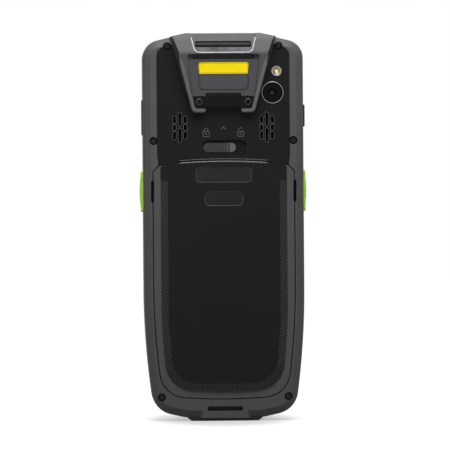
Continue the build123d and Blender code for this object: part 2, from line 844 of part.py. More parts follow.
with BuildPart() as front_housing:
    with BuildSketch(level(split_y)):
        add(body_outline)
    extrude(amount=split_y - front_y)
    fillet(front_housing.faces().sort_by(Axis.Y)[0].edges(), front_round)
    # Cavity behind the front wall, with the screw bosses left standing.
    with BuildSketch(level(split_y)):
        add(inner_outline)
        with Locations(*both_sides(screw_points)):
            Circle(boss_radius, mode=Mode.SUBTRACT)
    extrude(amount=split_y - front_inner_y, mode=Mode.SUBTRACT)
    with BuildSketch(level(split_y)):
        with Locations(*both_sides(screw_points)):
            Circle(screw_shank_radius)
    extrude(amount=screw_depth, mode=Mode.SUBTRACT)
    # Glass seat and the window behind it for the display.
    with BuildSketch(level(glass_back_y)):
        with Locations((0, glass_z)):
            RectangleRounded(
                glass_size[0] + 2 * seat_clearance, glass_size[1] + 2 * seat_clearance, glass_radius
            )
    extrude(amount=glass_thickness + overcut, mode=Mode.SUBTRACT)
    with BuildSketch(level(split_y)):
        with Locations((0, glass_z)):
            Rectangle(lcd_size[0] + 2 * key_clearance, lcd_size[1] + 2 * key_clearance)
    extrude(amount=split_y - front_y, mode=Mode.SUBTRACT)
    # Key openings, earpiece slot, indicator and microphone holes.
    with BuildSketch(level(split_y)):
        for place, size, radius in keycaps.values():
            with Locations(place):
                RectangleRounded(size[0] + 2 * key_clearance, size[1] + 2 * key_clearance, radius)
        with Locations((0, earpiece_z)):
            SlotOverall(*earpiece_slot)
        with Locations((led_x, earpiece_z)):
            Circle(led_radius)
        with Locations((0, microphone_z)):
            Circle(microphone_radius)
    extrude(amount=split_y - front_y + overcut, mode=Mode.SUBTRACT)
save(front_housing.part, "front_housing")

# ---------------------------------------------------------------- battery cover
panel_floor_y = back_y - panel_thickness

with BuildPart() as cover_frame:
    with BuildSketch(outward(cover_under_y)):
        add(cover_outline)
    extrude(amount=cover_thickness)
    # Shallow tray that the skin panel is bonded into.
    with BuildSketch(outward(panel_floor_y)):
        add(panel_outline)
    extrude(amount=panel_thickness, mode=Mode.SUBTRACT)
    # Hooks at the foot: a leg from the cover's underside and a toe under the housing's lip.
    with BuildSketch(outward(hook_back_y)):
        with Locations(*both_sides([(hook_x, (hook_leg_low + hook_leg_high) / 2)])):
            Rectangle(hook_width, hook_leg_high - hook_leg_low)
    extrude(amount=cover_under_y - hook_back_y)
    with BuildSketch(outward(hook_back_y)):
        with Locations(*both_sides([(hook_x, (hook_toe_z + hook_leg_low) / 2)])):
            Rectangle(hook_width, hook_leg_low - hook_toe_z)
    extrude(amount=hook_front_y - hook_back_y)
    # Keepers at the head, each a block with a lip below the latch's hook.
    with BuildSketch(outward(keeper_back_y)):
        with Locations(*both_sides([(keeper_x, (keeper_z[0] + keeper_z[1]) / 2)])):
            Rectangle(keeper_width, keeper_z[1] - keeper_z[0])
    extrude(amount=cover_under_y - keeper_back_y)
    with BuildSketch(outward(keeper_back_y)):
        with Locations(*both_sides([(keeper_x, (keeper_z[1] + keeper_lip_z) / 2)])):
            Rectangle(keeper_width, keeper_lip_z - keeper_z[1])
    extrude(amount=keeper_lip_y - keeper_back_y)
    # Pry slots on both edges.
    with BuildSketch(level(back_y)):
        with Locations(*both_sides([(seam_side, pry_slot_z)])):
            SlotOverall(*pry_slot, rotation=90)
    extrude(amount=cover_thickness, mode=Mode.SUBTRACT)
save(cover_frame.part, "cover_frame")

crown_half = panel_side + overcut
with BuildPart() as cover_panel:
    with BuildSketch(outward(panel_floor_y)):
        add(panel_outline)
    extrude(amount=panel_thickness + panel_crown)
    with BuildSketch(Plane.XY.offset(panel_bottom - overcut)):
        with BuildLine():
            ThreePointArc((-crown_half, back_y), (0, back_y + panel_crown), (crown_half, back_y))
            Polyline(
                (crown_half, back_y),
                (crown_half, panel_floor_y - overcut),
                (-crown_half, panel_floor_y - overcut),
                (-crown_half, back_y),
            )
        make_face()
    extrude(amount=body_top, mode=Mode.INTERSECT)
    with BuildSketch(outward(back_y + panel_crown - recess_depth)):
        with Locations((0, caption_z)):
            RectangleRounded(*caption_recess, caption_corner)
        with Locations((0, badge_z)):
            RectangleRounded(*badge_recess, badge_corner)
    extrude(amount=panel_crown, mode=Mode.SUBTRACT)
save(cover_panel.part, "cover_panel")

with BuildPart() as cover_seal:
    with BuildSketch(outward(cover_seat_y - seal_depth)):
        add(seal_outline)
        add(inset(seal_outline, seal_width), mode=Mode.SUBTRACT)
    extrude(amount=seal_depth + seal_proud)
save(cover_seal.part, "cover_seal")

with BuildPart() as battery_pack:
    with BuildSketch(outward(bay_floor_y)):
        with Locations((0, (battery_z[0] + battery_z[1]) / 2)):
            Rectangle(2 * battery_half_width, battery_z[1] - battery_z[0])
    extrude(amount=battery_thickness)
    fillet(battery_pack.edges().filter_by(Axis.Y), battery_corner)
    # Finger scoop at the foot of the pack.
    with BuildSketch(outward(bay_floor_y + battery_thickness)):
        with Locations((0, battery_z[0] + battery_notch_rise)):
            SlotOverall(*battery_notch)
    extrude(amount=-battery_notch_depth, mode=Mode.SUBTRACT)
save(battery_pack.part, "battery_pack")

with BuildPart() as battery_contacts:
    with BuildSketch(outward(bay_floor_y)):
        with Locations((0, (battery_z[1] + seal_top - bay_inset) / 2)):
            Rectangle(contact_block_width, seal_top - bay_inset - battery_z[1] - 2 * seat_clearance)
    extrude(amount=battery_thickness / 2)
save(battery_contacts.part, "battery_contacts")

# ---------------------------------------------------------------- latch
knob_height = knob_high - knob_low
knob_centre = ((knob_left + knob_right) / 2, (knob_low + knob_high) / 2)
knob_top_y = back_y - knob_sunk
knob_floor_y = knob_top_y - knob_thickness - knob_travel - seat_clearance

with BuildPart() as latch_bolt:
    with BuildSketch(level(bolt_back_y)):
        with Locations(((bolt_left + bolt_right) / 2, (bolt_low + bolt_high) / 2)):
            Rectangle(bolt_right - bolt_left, bolt_high - bolt_low)
    extrude(amount=-bolt_thickness)
    with BuildSketch(level(bolt_back_y)):
        with Locations(*both_sides([(keeper_x, (bolt_hook_z + bolt_low) / 2)])):
            Rectangle(keeper_width, bolt_low - bolt_hook_z)
    extrude(amount=-(bolt_hook_y - bolt_back_y))
    with BuildSketch(level(knob_floor_y)):
        with Locations(knob_centre):
            SlotOverall(knob_right - knob_left + 2 * seam_gap, knob_height + 2 * seam_gap)
    extrude(amount=-bolt_thickness, mode=Mode.SUBTRACT)
save(latch_bolt.part, "latch_bolt")

with BuildPart() as latch_button:
    with BuildSketch(level(knob_top_y)):
        with Locations(knob_centre):
            SlotOverall(knob_right - knob_left, knob_height)
    extrude(amount=knob_thickness)
    with BuildSketch(level(knob_top_y)):
        with Locations(
            *[
                (knob_right - knob_height / 2 - index * knob_rib_pitch, knob_centre[1])
                for index in range(knob_rib_count)
            ]
        ):
            Rectangle(knob_rib_pitch / 2, knob_height)
    extrude(amount=knob_groove_depth, mode=Mode.SUBTRACT)
save(latch_button.part, "latch_button")

# ---------------------------------------------------------------- upper back plate
latch_slot_centre = ((slot_left + slot_right) / 2, (slot_low + slot_high) / 2)
with BuildPart() as upper_plate:
    with BuildSketch(outward(plate_seat_y)):
        add(plate_face(seat_clearance))
        add(hood_outline, mode=Mode.SUBTRACT)
    extrude(amount=plate_thickness)
    # Low raised rims round the speaker slots and the latch slot.
    with BuildSketch(level(back_y)):
        add(speaker_face(slot_rim_width))
        with Locations(latch_slot_centre):
            SlotOverall(
                slot_right - slot_left + 2 * slot_rim_width, slot_high - slot_low + 2 * slot_rim_width
            )
    extrude(amount=-slot_rim_height)
    with BuildSketch(level(back_y + overcut)):
        with Locations(latch_slot_centre):
            SlotOverall(slot_right - slot_left, slot_high - slot_low)
        with Locations(camera_at):
            Circle(camera_radius + seat_clearance)
        with Locations(flash_at):
            Circle(flash_radius + seat_clearance)
        with Locations(*both_sides(screw_points)):
            Circle(screw_head_radius + screw_clearance)
        add(speaker_slots)
    extrude(amount=plate_thickness + 2 * overcut, mode=Mode.SUBTRACT)
    # Bevelled finger ledge along the middle of the curved lower edge.
    for turn in (1, -1):
        with BuildSketch(Plane.YZ):
            Polygon(
                (back_y - ledge_bevel_depth, ledge_top),
                (back_y + ledge_bevel_depth, ledge_top + 2 * ledge_bevel),
                (back_y + ledge_bevel_depth, ledge_top - ledge_bevel),
                align=None,
            )
        revolve(
            axis=Axis((0, 0, ledge_centre_z), (0, turn, 0)),
            revolution_arc=degrees(ledge_half_width / ledge_radius),
            mode=Mode.SUBTRACT,
        )
save(upper_plate.part, "upper_plate")

# ---------------------------------------------------------------- scanner window and label
with BuildPart() as scan_window:
    with BuildSketch(scoop_plane.offset(-window_recess)):
        with Locations((0, window_along)):
            RectangleRounded(
                window_width - 2 * seat_clearance,
                window_slant - 2 * seat_clearance,
                window_corner - seat_clearance,
            )
    extrude(amount=window_thickness)
save(scan_window.part, "scan_window")

label_face_corners = [
    (label_bottom_half + label_edge, bracket_high + label_edge, label_corner),
    (label_top_half - label_edge, label_groove_bottom, label_corner),
]
with BuildSketch() as label_sketch:
    add(closed_outline(label_face_corners))
    with Locations((0, bracket_high)):
        Rectangle(2 * notch_half_width, 2 * (notch_top - bracket_high), mode=Mode.SUBTRACT)
label_face = ridge_plane(label_depth).offset(label_thickness)
with BuildSketch() as engraved_sketch:
    add(
        closed_outline(
            [
                (engraved_half_width, engraved_bottom, engraved_corner),
                (engraved_half_width, sticker_low + sticker_corner, 0),
            ]
        )
    )
    offset(amount=-engraved_line, mode=Mode.SUBTRACT)
with BuildPart() as label_plate:
    add(slab(label_sketch.sketch, ridge_plane(label_depth), label_thickness))
    add(above(engraved_sketch.sketch, label_face.offset(-engraved_depth)), mode=Mode.SUBTRACT)
save(label_plate.part, "label_plate")

sticker_outline = closed_outline(
    [
        (sticker_half_width - sticker_taper, sticker_low, 0),
        (sticker_half_width, sticker_high, sticker_corner),
    ]
)
with BuildPart() as yellow_label:
    add(slab(sticker_outline, label_face, sticker_thickness))
save(yellow_label.part, "yellow_label")

bracket_outline = closed_outline(
    [
        (bracket_half_width, bracket_low, bracket_low_round),
        (bracket_half_width, bracket_high, bracket_high_round),
    ]
)
bracket_screw_places = both_sides([(bracket_screw[0], bracket_screw_along)])
bracket_seat = ridge_plane(label_depth).offset(bracket_thickness - bracket_sink)
with BuildPart() as strap_bracket:
    add(slab(bracket_outline, ridge_plane(label_depth), bracket_thickness))
    with BuildSketch(bracket_seat):
        with Locations(*bracket_screw_places):
            Circle(screw_head_radius + screw_clearance)
    extrude(amount=bracket_sink, mode=Mode.SUBTRACT)
    with BuildSketch(bracket_seat):
        with Locations(*bracket_screw_places):
            Circle(screw_shank_radius + screw_clearance)
    extrude(amount=-bracket_thickness, mode=Mode.SUBTRACT)
save(strap_bracket.part, "strap_bracket")

with BuildPart() as strap_bracket_screws:
    with BuildSketch(bracket_seat):
        with Locations(*bracket_screw_places):
            Circle(screw_head_radius)
    extrude(amount=screw_head_height)
    with BuildSketch(bracket_seat):
        with Locations(*bracket_screw_places):
            Circle(screw_shank_radius - seat_clearance / 2)
    extrude(amount=-(bracket_thickness - bracket_sink + bracket_screw_depth - screw_tip_gap))
save(strap_bracket_screws.part, "strap_bracket_screws")

# ---------------------------------------------------------------- camera, flash and speakers
with BuildPart() as camera_ring:
    with BuildSketch(level(plate_seat_y)):
        with Locations(camera_at):
            Circle(camera_radius)
            Circle(camera_radius - camera_ring_width, mode=Mode.SUBTRACT)
    extrude(amount=-(plate_thickness + camera_proud))
    fillet(camera_ring.faces().sort_by(Axis.Y)[-1].edges(), camera_ring_width / 3)
save(camera_ring.part, "camera_ring")

with BuildPart() as camera_window:
    with BuildSketch(level(plate_seat_y)):
        with Locations(camera_at):
            Circle(camera_radius - camera_ring_width - seat_clearance / 2)
    extrude(amount=-plate_thickness)
save(camera_window.part, "camera_window")

with BuildPart() as camera_module:
    with BuildSketch(level(plate_seat_y - seat_clearance)):
        with Locations(camera_at):
            Circle(camera_barrel)
    extrude(amount=plate_thickness)
    with BuildSketch(level(upper_cavity_y - seat_clearance)):
        with Locations(camera_at):
            Rectangle(camera_body, camera_body)
    extrude(amount=camera_body_height)
save(camera_module.part, "camera_module")

with BuildPart() as flash_lens:
    with BuildSketch(level(upper_cavity_y)):
        with Locations(flash_at):
            Circle(flash_radius)
    extrude(amount=-(2 * plate_thickness))
    fillet(flash_lens.faces().sort_by(Axis.Y)[-1].edges(), flash_round)
save(flash_lens.part, "flash_lens")

for side, name in ((1, "speaker_left"), (-1, "speaker_right")):
    with BuildPart() as speaker:
        with BuildSketch(level(upper_cavity_y - seat_clearance)):
            with Locations((side * (latch_block_half + speaker_size[0] / 2 + speaker_gap), speaker_z)):
                RectangleRounded(*speaker_size, speaker_corner)
        extrude(amount=speaker_height)
    save(speaker.part, name)

# ---------------------------------------------------------------- side keys
flange_x = side_inner - key_clearance - flange_thickness
for name, (side, y_range, z_range, proud) in side_keys.items():
    width = y_range[1] - y_range[0]
    length = z_range[1] - z_range[0]
    centre = (side * (y_range[0] + y_range[1]) / 2, (z_range[0] + z_range[1]) / 2)
    with BuildPart() as side_key:
        with BuildSketch(side_plane(side, flange_x)):
            with Locations(centre):
                Rectangle(width + 2 * flange_rim, length + 2 * flange_rim)
        extrude(amount=flange_thickness)
        with BuildSketch(side_plane(side, flange_x + flange_thickness)):
            with Locations(centre):
                RectangleRounded(width, length, side_key_corner)
        extrude(amount=body_half_width + proud - flange_x - flange_thickness)
        outer_face = side_key.faces().sort_by(Axis.X)[-1 if side > 0 else 0]
        fillet(outer_face.edges(), side_key_round)
    save(side_key.part, name)

# ---------------------------------------------------------------- glass, display and boards
with BuildPart() as touch_glass:
    with BuildSketch(level(glass_back_y)):
        with Locations((0, glass_z)):
            RectangleRounded(*glass_size, glass_radius)
    extrude(amount=glass_thickness - seat_clearance)
save(touch_glass.part, "touch_glass")

with BuildPart() as lcd_module:
    with BuildSketch(level(midframe_y)):
        with Locations((0, glass_z)):
            Rectangle(*lcd_size)
    extrude(amount=midframe_y - glass_back_y)
save(lcd_module.part, "lcd_module")

with BuildPart() as mid_frame:
    with BuildSketch(outward(midframe_y)):
        add(inset(inner_outline, key_clearance))
        with Locations(*both_sides(screw_points)):
            Circle(boss_radius + key_clearance, mode=Mode.SUBTRACT)
    extrude(amount=midframe_thickness)
save(mid_frame.part, "mid_frame")

board_y = midframe_y + midframe_thickness
with BuildPart() as main_board:
    with BuildSketch(outward(board_y)):
        with Locations((0, (board_z[0] + board_z[1]) / 2)):
            RectangleRounded(2 * board_half_width, board_z[1] - board_z[0], board_corner)
    extrude(amount=board_thickness)
save(main_board.part, "main_board")

shield_height = cavity_y - board_y - board_thickness - key_clearance
with BuildPart() as shield_cans:
    with BuildSketch(outward(board_y + board_thickness)):
        for place, size in shield_layout:
            with Locations(place):
                RectangleRounded(*size, shield_corner)
    extrude(amount=shield_height)
save(shield_cans.part, "shield_cans")

with BuildPart() as scan_engine:
    with BuildSketch(level(upper_cavity_y - seat_clearance)):
        with Locations((0, engine_z)):
            RectangleRounded(*engine_size, engine_corner)
    extrude(amount=engine_height)
save(scan_engine.part, "scan_engine")

with BuildPart() as vibration_motor:
    with BuildSketch(level(upper_cavity_y - seat_clearance)):
        with Locations(motor_at):
            Circle(motor_radius)
    extrude(amount=motor_height)
save(vibration_motor.part, "vibration_motor")

switch_dome_height = flange_x - trigger_travel - key_clearance - bay_wall_outer - switch_strip_thickness
with BuildPart() as side_switches:
    for side, y_range, _, _ in side_keys.values():
        strip_z = trigger_switch_z if y_range is trigger_y else upper_switch_z
        strip_height = strip_z[1] - strip_z[0]
        strip_middle = (strip_z[0] + strip_z[1]) / 2
        with BuildSketch(side_plane(side, bay_wall_outer)):
            with Locations((side * switch_strip_y, strip_middle)):
                Rectangle(switch_strip_width, strip_height)
        extrude(amount=switch_strip_thickness)
        with BuildSketch(side_plane(side, bay_wall_outer + switch_strip_thickness)):
            with Locations((side * (switch_strip_y - switch_dome_shift), strip_middle)):
                Circle(switch_dome_radius)
        extrude(amount=switch_dome_height)
save(side_switches.part, "side_switches")

# ---------------------------------------------------------------- keypad, earpiece, indicator
for name, (place, size, radius) in keycaps.items():
    with BuildPart() as keycap:
        with BuildSketch(level(front_inner_y + keypad_wall_gap)):
            with Locations(place):
                RectangleRounded(size[0], size[1], radius)
        extrude(amount=front_wall + keypad_wall_gap + keycap_proud)
        fillet(keycap.faces().sort_by(Axis.Y)[0].edges(), keycap_round)
        with BuildSketch(level(front_inner_y + keypad_wall_gap + flange_thickness)):
            with Locations(place):
                RectangleRounded(size[0] + 2 * flange_rim, size[1] + 2 * flange_rim, radius)
        extrude(amount=flange_thickness)
    save(keycap.part, name)

with BuildSketch() as mat_sketch:
    with Locations((0, (mat_ends[0] + mat_ends[1]) / 2)):
        RectangleRounded(2 * board_half_width, mat_ends[1] - mat_ends[0], mat_corner)
    with Locations(*both_sides(screw_points)):
        Circle(boss_radius + key_clearance, mode=Mode.SUBTRACT)
mat_outline = mat_sketch.sketch

with BuildPart() as keypad_mat:
    with BuildSketch(outward(mat_y)):
        add(mat_outline)
    extrude(amount=mat_thickness)
save(keypad_mat.part, "keypad_mat")

with BuildPart() as keypad_board:
    with BuildSketch(outward(mat_y + mat_thickness)):
        add(mat_outline)
    extrude(amount=midframe_y - mat_y - mat_thickness)
save(keypad_board.part, "keypad_board")

with BuildPart() as earpiece_mesh:
    with BuildSketch(level(front_inner_y)):
        with Locations((0, earpiece_z)):
            SlotOverall(earpiece_slot[0] - 2 * seat_clearance, earpiece_slot[1] - 2 * seat_clearance)
    extrude(amount=front_wall - mesh_sink)
save(earpiece_mesh.part, "earpiece_mesh")

with BuildPart() as earpiece:
    with BuildSketch(level(front_inner_y + earpiece_height)):
        with Locations((0, earpiece_z - earpiece_drop)):
            RectangleRounded(*earpiece_size, earpiece_corner)
    extrude(amount=earpiece_height)
save(earpiece.part, "earpiece")

with BuildPart() as status_light:
    with BuildSketch(level(front_inner_y)):
        with Locations((led_x, earpiece_z)):
            Circle(led_radius - seat_clearance / 2)
    extrude(amount=front_wall)
save(status_light.part, "status_light")

# ---------------------------------------------------------------- foot, dock contacts, screws
with BuildPart() as foot_pad:
    with BuildSketch(Plane.XZ):
        Polygon(
            (foot_half_width, 0),
            (toe_half_width, foot_height),
            (-toe_half_width, foot_height),
            (-foot_half_width, 0),
            align=None,
        )
    extrude(amount=foot_depth / 2, both=True)
    with BuildSketch(Plane.XY):
        with Locations((0, strap_exit_y + strap_slot_height / 2)):
            Rectangle(strap_slot_width, strap_slot_height)
        with GridLocations(dock_pitch, 0, dock_count, 1):
            with Locations((0, dock_y)):
                Circle(dock_radius + seat_clearance / 2)
    extrude(amount=foot_height, mode=Mode.SUBTRACT)
save(foot_pad.part, "foot_pad")

with BuildPart() as dock_contacts:
    with BuildSketch(Plane.XY.offset(dock_recess)):
        with GridLocations(dock_pitch, 0, dock_count, 1):
            with Locations((0, dock_y)):
                Circle(dock_radius)
    extrude(amount=foot_height - dock_recess)
save(dock_contacts.part, "dock_contacts")

with BuildPart() as housing_screws:
    with BuildSketch(level(back_y - screw_recess)):
        with Locations(*both_sides(screw_points)):
            Circle(screw_head_radius)
    extrude(amount=-screw_head_height)
    with BuildSketch(level(back_y - screw_recess)):
        with Locations(*both_sides(screw_points)):
            Circle(screw_shank_radius - seat_clearance / 2)
    extrude(amount=back_y - screw_recess - split_y + screw_depth - screw_tip_gap)
save(housing_screws.part, "housing_screws")
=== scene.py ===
from math import cos, pi, radians, sin, tan

import bpy
from mathutils import Matrix, Vector


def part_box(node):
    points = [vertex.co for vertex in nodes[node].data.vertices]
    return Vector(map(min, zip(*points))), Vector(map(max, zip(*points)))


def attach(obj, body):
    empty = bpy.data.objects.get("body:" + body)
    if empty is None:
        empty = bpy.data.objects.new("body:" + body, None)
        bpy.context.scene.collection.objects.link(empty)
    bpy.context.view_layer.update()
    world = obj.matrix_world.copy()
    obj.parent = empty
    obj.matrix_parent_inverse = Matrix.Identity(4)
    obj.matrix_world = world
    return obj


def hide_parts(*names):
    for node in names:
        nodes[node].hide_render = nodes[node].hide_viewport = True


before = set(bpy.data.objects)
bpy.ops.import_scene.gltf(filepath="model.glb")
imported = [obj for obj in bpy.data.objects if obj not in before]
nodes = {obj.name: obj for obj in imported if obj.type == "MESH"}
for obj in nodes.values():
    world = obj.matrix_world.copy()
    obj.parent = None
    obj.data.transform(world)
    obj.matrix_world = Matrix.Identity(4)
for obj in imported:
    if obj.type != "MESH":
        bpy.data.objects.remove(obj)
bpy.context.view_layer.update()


# ---------------------------------------------------------------- housing shells
# Front and rear shells and the battery cover's frame: PC/ABS blend, injection moulded in charcoal
# grey. Six screws clamp the two shells on a gasket; the cover's frame hooks in at the foot.

def linear(colour, gain=1.0):
    """Linear RGBA from an sRGB hex colour, times a gain."""
    parts = [int(colour[i:i + 2], 16) / 255 for i in (1, 3, 5)]
    parts = [c / 12.92 if c <= 0.04045 else ((c + 0.055) / 1.055) ** 2.4 for c in parts]
    return [gain * c for c in parts] + [1.0]


def plug(owner, node, sockets):
    """Fills a node's sockets, each with a constant, a node's first output, or (node, output)."""
    for key, value in sockets.items():
        if isinstance(value, bpy.types.Node):
            value = (value, 0)
        if isinstance(value, tuple) and isinstance(value[0], bpy.types.Node):
            owner.node_tree.links.new(value[0].outputs[value[1]], node.inputs[key])
        else:
            node.inputs[key].default_value = value


def put(owner, kind, sockets=None, **settings):
    """Adds a shader node with its settings, and fills its sockets."""
    node = owner.node_tree.nodes.new("ShaderNode" + kind)
    for name, value in settings.items():
        setattr(node, name, value)
    plug(owner, node, sockets or {})
    return node


def feed(material, **sockets):
    """Fills sockets of the material's own shader; a name has _ for each space."""
    shader = material.node_tree.nodes["Principled BSDF"]
    plug(material, shader, {key.replace("_", " "): value for key, value in sockets.items()})


def finish_of(name, **constants):
    """A new material whose shader has its constant values set."""
    material = bpy.data.materials.new(name)
    material.use_nodes = True
    feed(material, **constants)
    return material


def moulded(name, colour, roughness, grain, depth, spread=0.06, level=0.5):
    """An even colour over the fine grain (in mm) that a mould, a coat of paint or a film gives."""
    material = finish_of(name, IOR=1.54, Specular_IOR_Level=level)
    # Patterns are drawn from the place on the piece, in metres.
    place = (put(material, "TexCoord"), "Object")
    clouds_per_metre = 45.0
    noise = put(material, "TexNoise", {"Vector": place, "Scale": 1000 / grain, "Roughness": 0.6})
    cloud = put(material, "TexNoise", {"Vector": place, "Scale": clouds_per_metre, "Detail": 3.0})
    both = put(material, "Math", {0: noise, 1: cloud}, operation="ADD")
    shade = put(material, "MapRange", {"Value": both, "From Min": 0.7, "From Max": 1.3})
    tint = put(material, "Mix", {0: shade, 6: linear(colour, 1 - spread), 7: linear(colour, 1 + spread)},
               data_type="RGBA")
    rough = put(material, "MapRange", {"Value": noise, "From Min": 0.3, "From Max": 0.7,
                                       "To Min": roughness - 0.05, "To Max": roughness + 0.05})
    bump = put(material, "Bump", {"Distance": depth / 1000, "Height": noise})
    feed(material, Base_Color=(tint, 2), Roughness=rough, Normal=bump)
    return material


def dress(material, *names):
    """Gives CAD nodes a material."""
    for name in names:
        nodes[name].data.materials.clear()
        nodes[name].data.materials.append(material)


# Spark-eroded grain is 0.15 mm across; it is drawn 0.4 mm so that it shows.
housing_grey = moulded("spark_eroded_pc_abs", "#474748", 0.46, 0.4, 0.012, level=0.14)
dress(housing_grey, "rear_housing", "front_housing", "cover_frame")

# ---------------------------------------------------------------- upper plate
# Black PC plate snapped and bonded over the latch and the speakers, moulded in a finer texture.
# Two padlocks and a chevron are pad-printed in grey ink above the latch.

plate_black = moulded("fine_textured_black_pc", "#131314", 0.5, 0.3, 0.006, level=0.07)
dress(plate_black, "upper_plate")


def mottled(name, dark, light, per_metre, detail=2.0, rough=None, over=(0.0, 1.0), bump=0.0,
            **constants):
    """Wanders between two colours, so many times a metre; roughness and height follow if given."""
    material = finish_of(name, **constants)
    place = (put(material, "TexCoord"), "Object")
    noise = put(material, "TexNoise", {"Vector": place, "Scale": per_metre, "Detail": detail})
    tint = put(material, "Mix", {0: noise, 6: linear(dark), 7: linear(light)}, data_type="RGBA")
    feed(material, Base_Color=(tint, 2))
    if rough:
        spread = put(material, "MapRange", {"Value": noise, "From Min": over[0], "From Max": over[1],
                                            "To Min": rough[0], "To Max": rough[1]})
        feed(material, Roughness=spread)
    if bump:
        feed(material, Normal=put(material, "Bump", {"Distance": bump, "Height": noise}))
    return material


ink_grey = mottled("pad_printed_ink", "#38383a", "#464648", 2500.0, Roughness=0.6)


def settle(piece, body, material, smooth=30.0):
    """Applies the piece's place, smooths its soft edges, and hangs it on a body."""
    bpy.ops.object.select_all(action="DESELECT")
    piece.select_set(True)
    bpy.context.view_layer.objects.active = piece
    bpy.ops.object.transform_apply(location=True, rotation=True, scale=True)
    bpy.ops.object.shade_smooth_by_angle(angle=radians(smooth))
    piece.data.materials.clear()
    piece.data.materials.append(material)
    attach(piece, body)
    return piece


def laid(name, runs, turn, at, body, slot, material, flat=1.0, **shape):
    """Draws runs of (x, y) or (x, y, taper) points in mm, and lays their mesh at a place."""
    curve = bpy.data.curves.new(name, "CURVE")
    for key, value in shape.items():
        setattr(curve, key, value)
    for points, closed in runs:
        spline = curve.splines.new("POLY")
        spline.points.add(len(points) - 1)
        for spot, (x, y, *taper) in zip(spline.points, points):
            spot.co = (x / 1000, y / 1000, 0, 1)
            spot.radius = taper[0] if taper else 1.0
        spline.use_cyclic_u = closed
    piece = bpy.data.objects.new(name, curve)
    bpy.context.scene.collection.objects.link(piece)
    bpy.ops.object.select_all(action="DESELECT")
    piece.select_set(True)
    bpy.context.view_layer.objects.active = piece
    bpy.ops.object.convert(target="MESH")
    piece = bpy.context.view_layer.objects.active
    piece.scale = (1, 1, flat)
    piece.rotation_euler = turn
    piece.location = at
    return settle(piece, body, material)


facing_back = (pi / 2, 0, pi)


def line(name, runs, width, at, slot, material, turn=facing_back, body="terminal", flat=0.12):
    """A bead of a width in mm, pressed flat, along runs of points."""
    return laid(name, runs, turn, at, body, slot, material, flat, dimensions="3D",
                bevel_depth=width / 2000, bevel_resolution=3, use_fill_caps=True)


def arc(cx, cy, radius, first, last, count=10):
    """Points on an arc, angles in degrees."""
    steps = [first + (last - first) * i / count for i in range(count + 1)]
    return [(cx + radius * cos(radians(a)), cy + radius * sin(radians(a))) for a in steps]


def rounded(width, height, radius, cx=0.0, cy=0.0):
    """Outline of a rounded rectangle about a centre."""
    w, h = width / 2 - radius, height / 2 - radius
    return (arc(cx + w, cy + h, radius, 0, 90, 4) + arc(cx - w, cy + h, radius, 90, 180, 4)
            + arc(cx - w, cy - h, radius, 180, 270, 4) + arc(cx + w, cy - h, radius, 270, 360, 4))


# Places are in metres; outlines, beads and what they are drawn with are in millimetres.
print_sink, rim_rise = 0.00015, 0.0003
plate_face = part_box("upper_plate")[1].y - print_sink
sign_z, sign_line = 0.1311, 0.26
padlock_body = (rounded(2.9, 2.2, 0.3, 0, -0.9), True)
keyhole = (arc(0, -0.8, 0.3, 0, 360, 8), False)
for name, x, shackle in (
        ("padlock_closed", 0.00785, [(-0.9, 0.2)] + arc(0, 0.75, 0.9, 180, 0) + [(0.9, 0.2)]),
        ("padlock_open", -0.0078, [(-0.9, 0.2)] + arc(0, 1.0, 0.9, 180, 20))):
    line(name, [padlock_body, keyhole, (shackle, False)], sign_line, (x, plate_face, sign_z),
         "label_grey", ink_grey)
chevron_z, chevron_line = 0.1329, 0.45
line("latch_chevron", [([(-0.85, -0.45), (0, 0.4), (0.85, -0.45)], False)], chevron_line,
     (0, plate_face, chevron_z), "label_grey", ink_grey)

# Lighter beads round the slots, round the latch slot and along the ledge over the cover are painted
# highlights on the plate's edges.
painted_highlight_black = moulded("painted_highlight_black_pc", "#4c4c4e", 0.3, 0.5, 0.004, level=0.3)
speaker_middle, column_pitch, slots_z = 19.75, 2.45, 0.13685
rim_across, rim_corner, rim_line = 1.6, 0.75, 0.16
middle_slots = ((-0.05, 6.6), (-7.3, 6.8))
side_slots = ((-0.2, 3.6), (-3.65, 3.0), (-7.3, 3.8))
slot_rims = []
for middle in (-speaker_middle, speaker_middle):
    for column, slots in ((0.0, middle_slots), (-column_pitch, side_slots), (column_pitch, side_slots)):
        slot_rims += [(rounded(rim_across, length, rim_corner, middle + column, height), True)
                      for height, length in slots]
line("speaker_slot_rims", slot_rims, rim_line, (0, plate_face + rim_rise, slots_z), "plate_black",
     painted_highlight_black)
latch_z, latch_slot, latch_rim_line = 0.12455, rounded(20.4, 6.1, 3.0, 0.6, 0), 0.24
line("latch_slot_rim", [(latch_slot, True)], latch_rim_line, (0, plate_face, latch_z), "plate_black",
     painted_highlight_black, flat=0.4)
# The ledge is an arc, between two angles, about a point far below the foot.
ledge_centre_z, ledge_from, ledge_to = -0.1551, 94.3, 85.7
for name, radius, width, sunk, flat in (("ledge_upper_bead", 274.0, 0.3, 0.0, 0.5),
                                        ("ledge_lower_bead", 272.75, 0.85, 0.0004, 0.75)):
    bead = arc(0, 0, radius, ledge_from, ledge_to, 30)
    bead[0], bead[-1] = (*bead[0], 0.1), (*bead[-1], 0.1)
    line(name, [(bead, False)], width, (0, plate_face - sunk, ledge_centre_z), "plate_black",
         painted_highlight_black, flat=flat)

# ---------------------------------------------------------------- cover seam
# A black cord in the 0.3 mm seam round the battery cover, along the rear shell's edge, is painted
# shade in the gap. It ends at the ledge on both sides, and is drawn 0.56 mm wide so that it shows.

painted_shade_black = moulded("painted_shade_sheet", "#050505", 0.7, 0.5, 0.01, level=0.05)


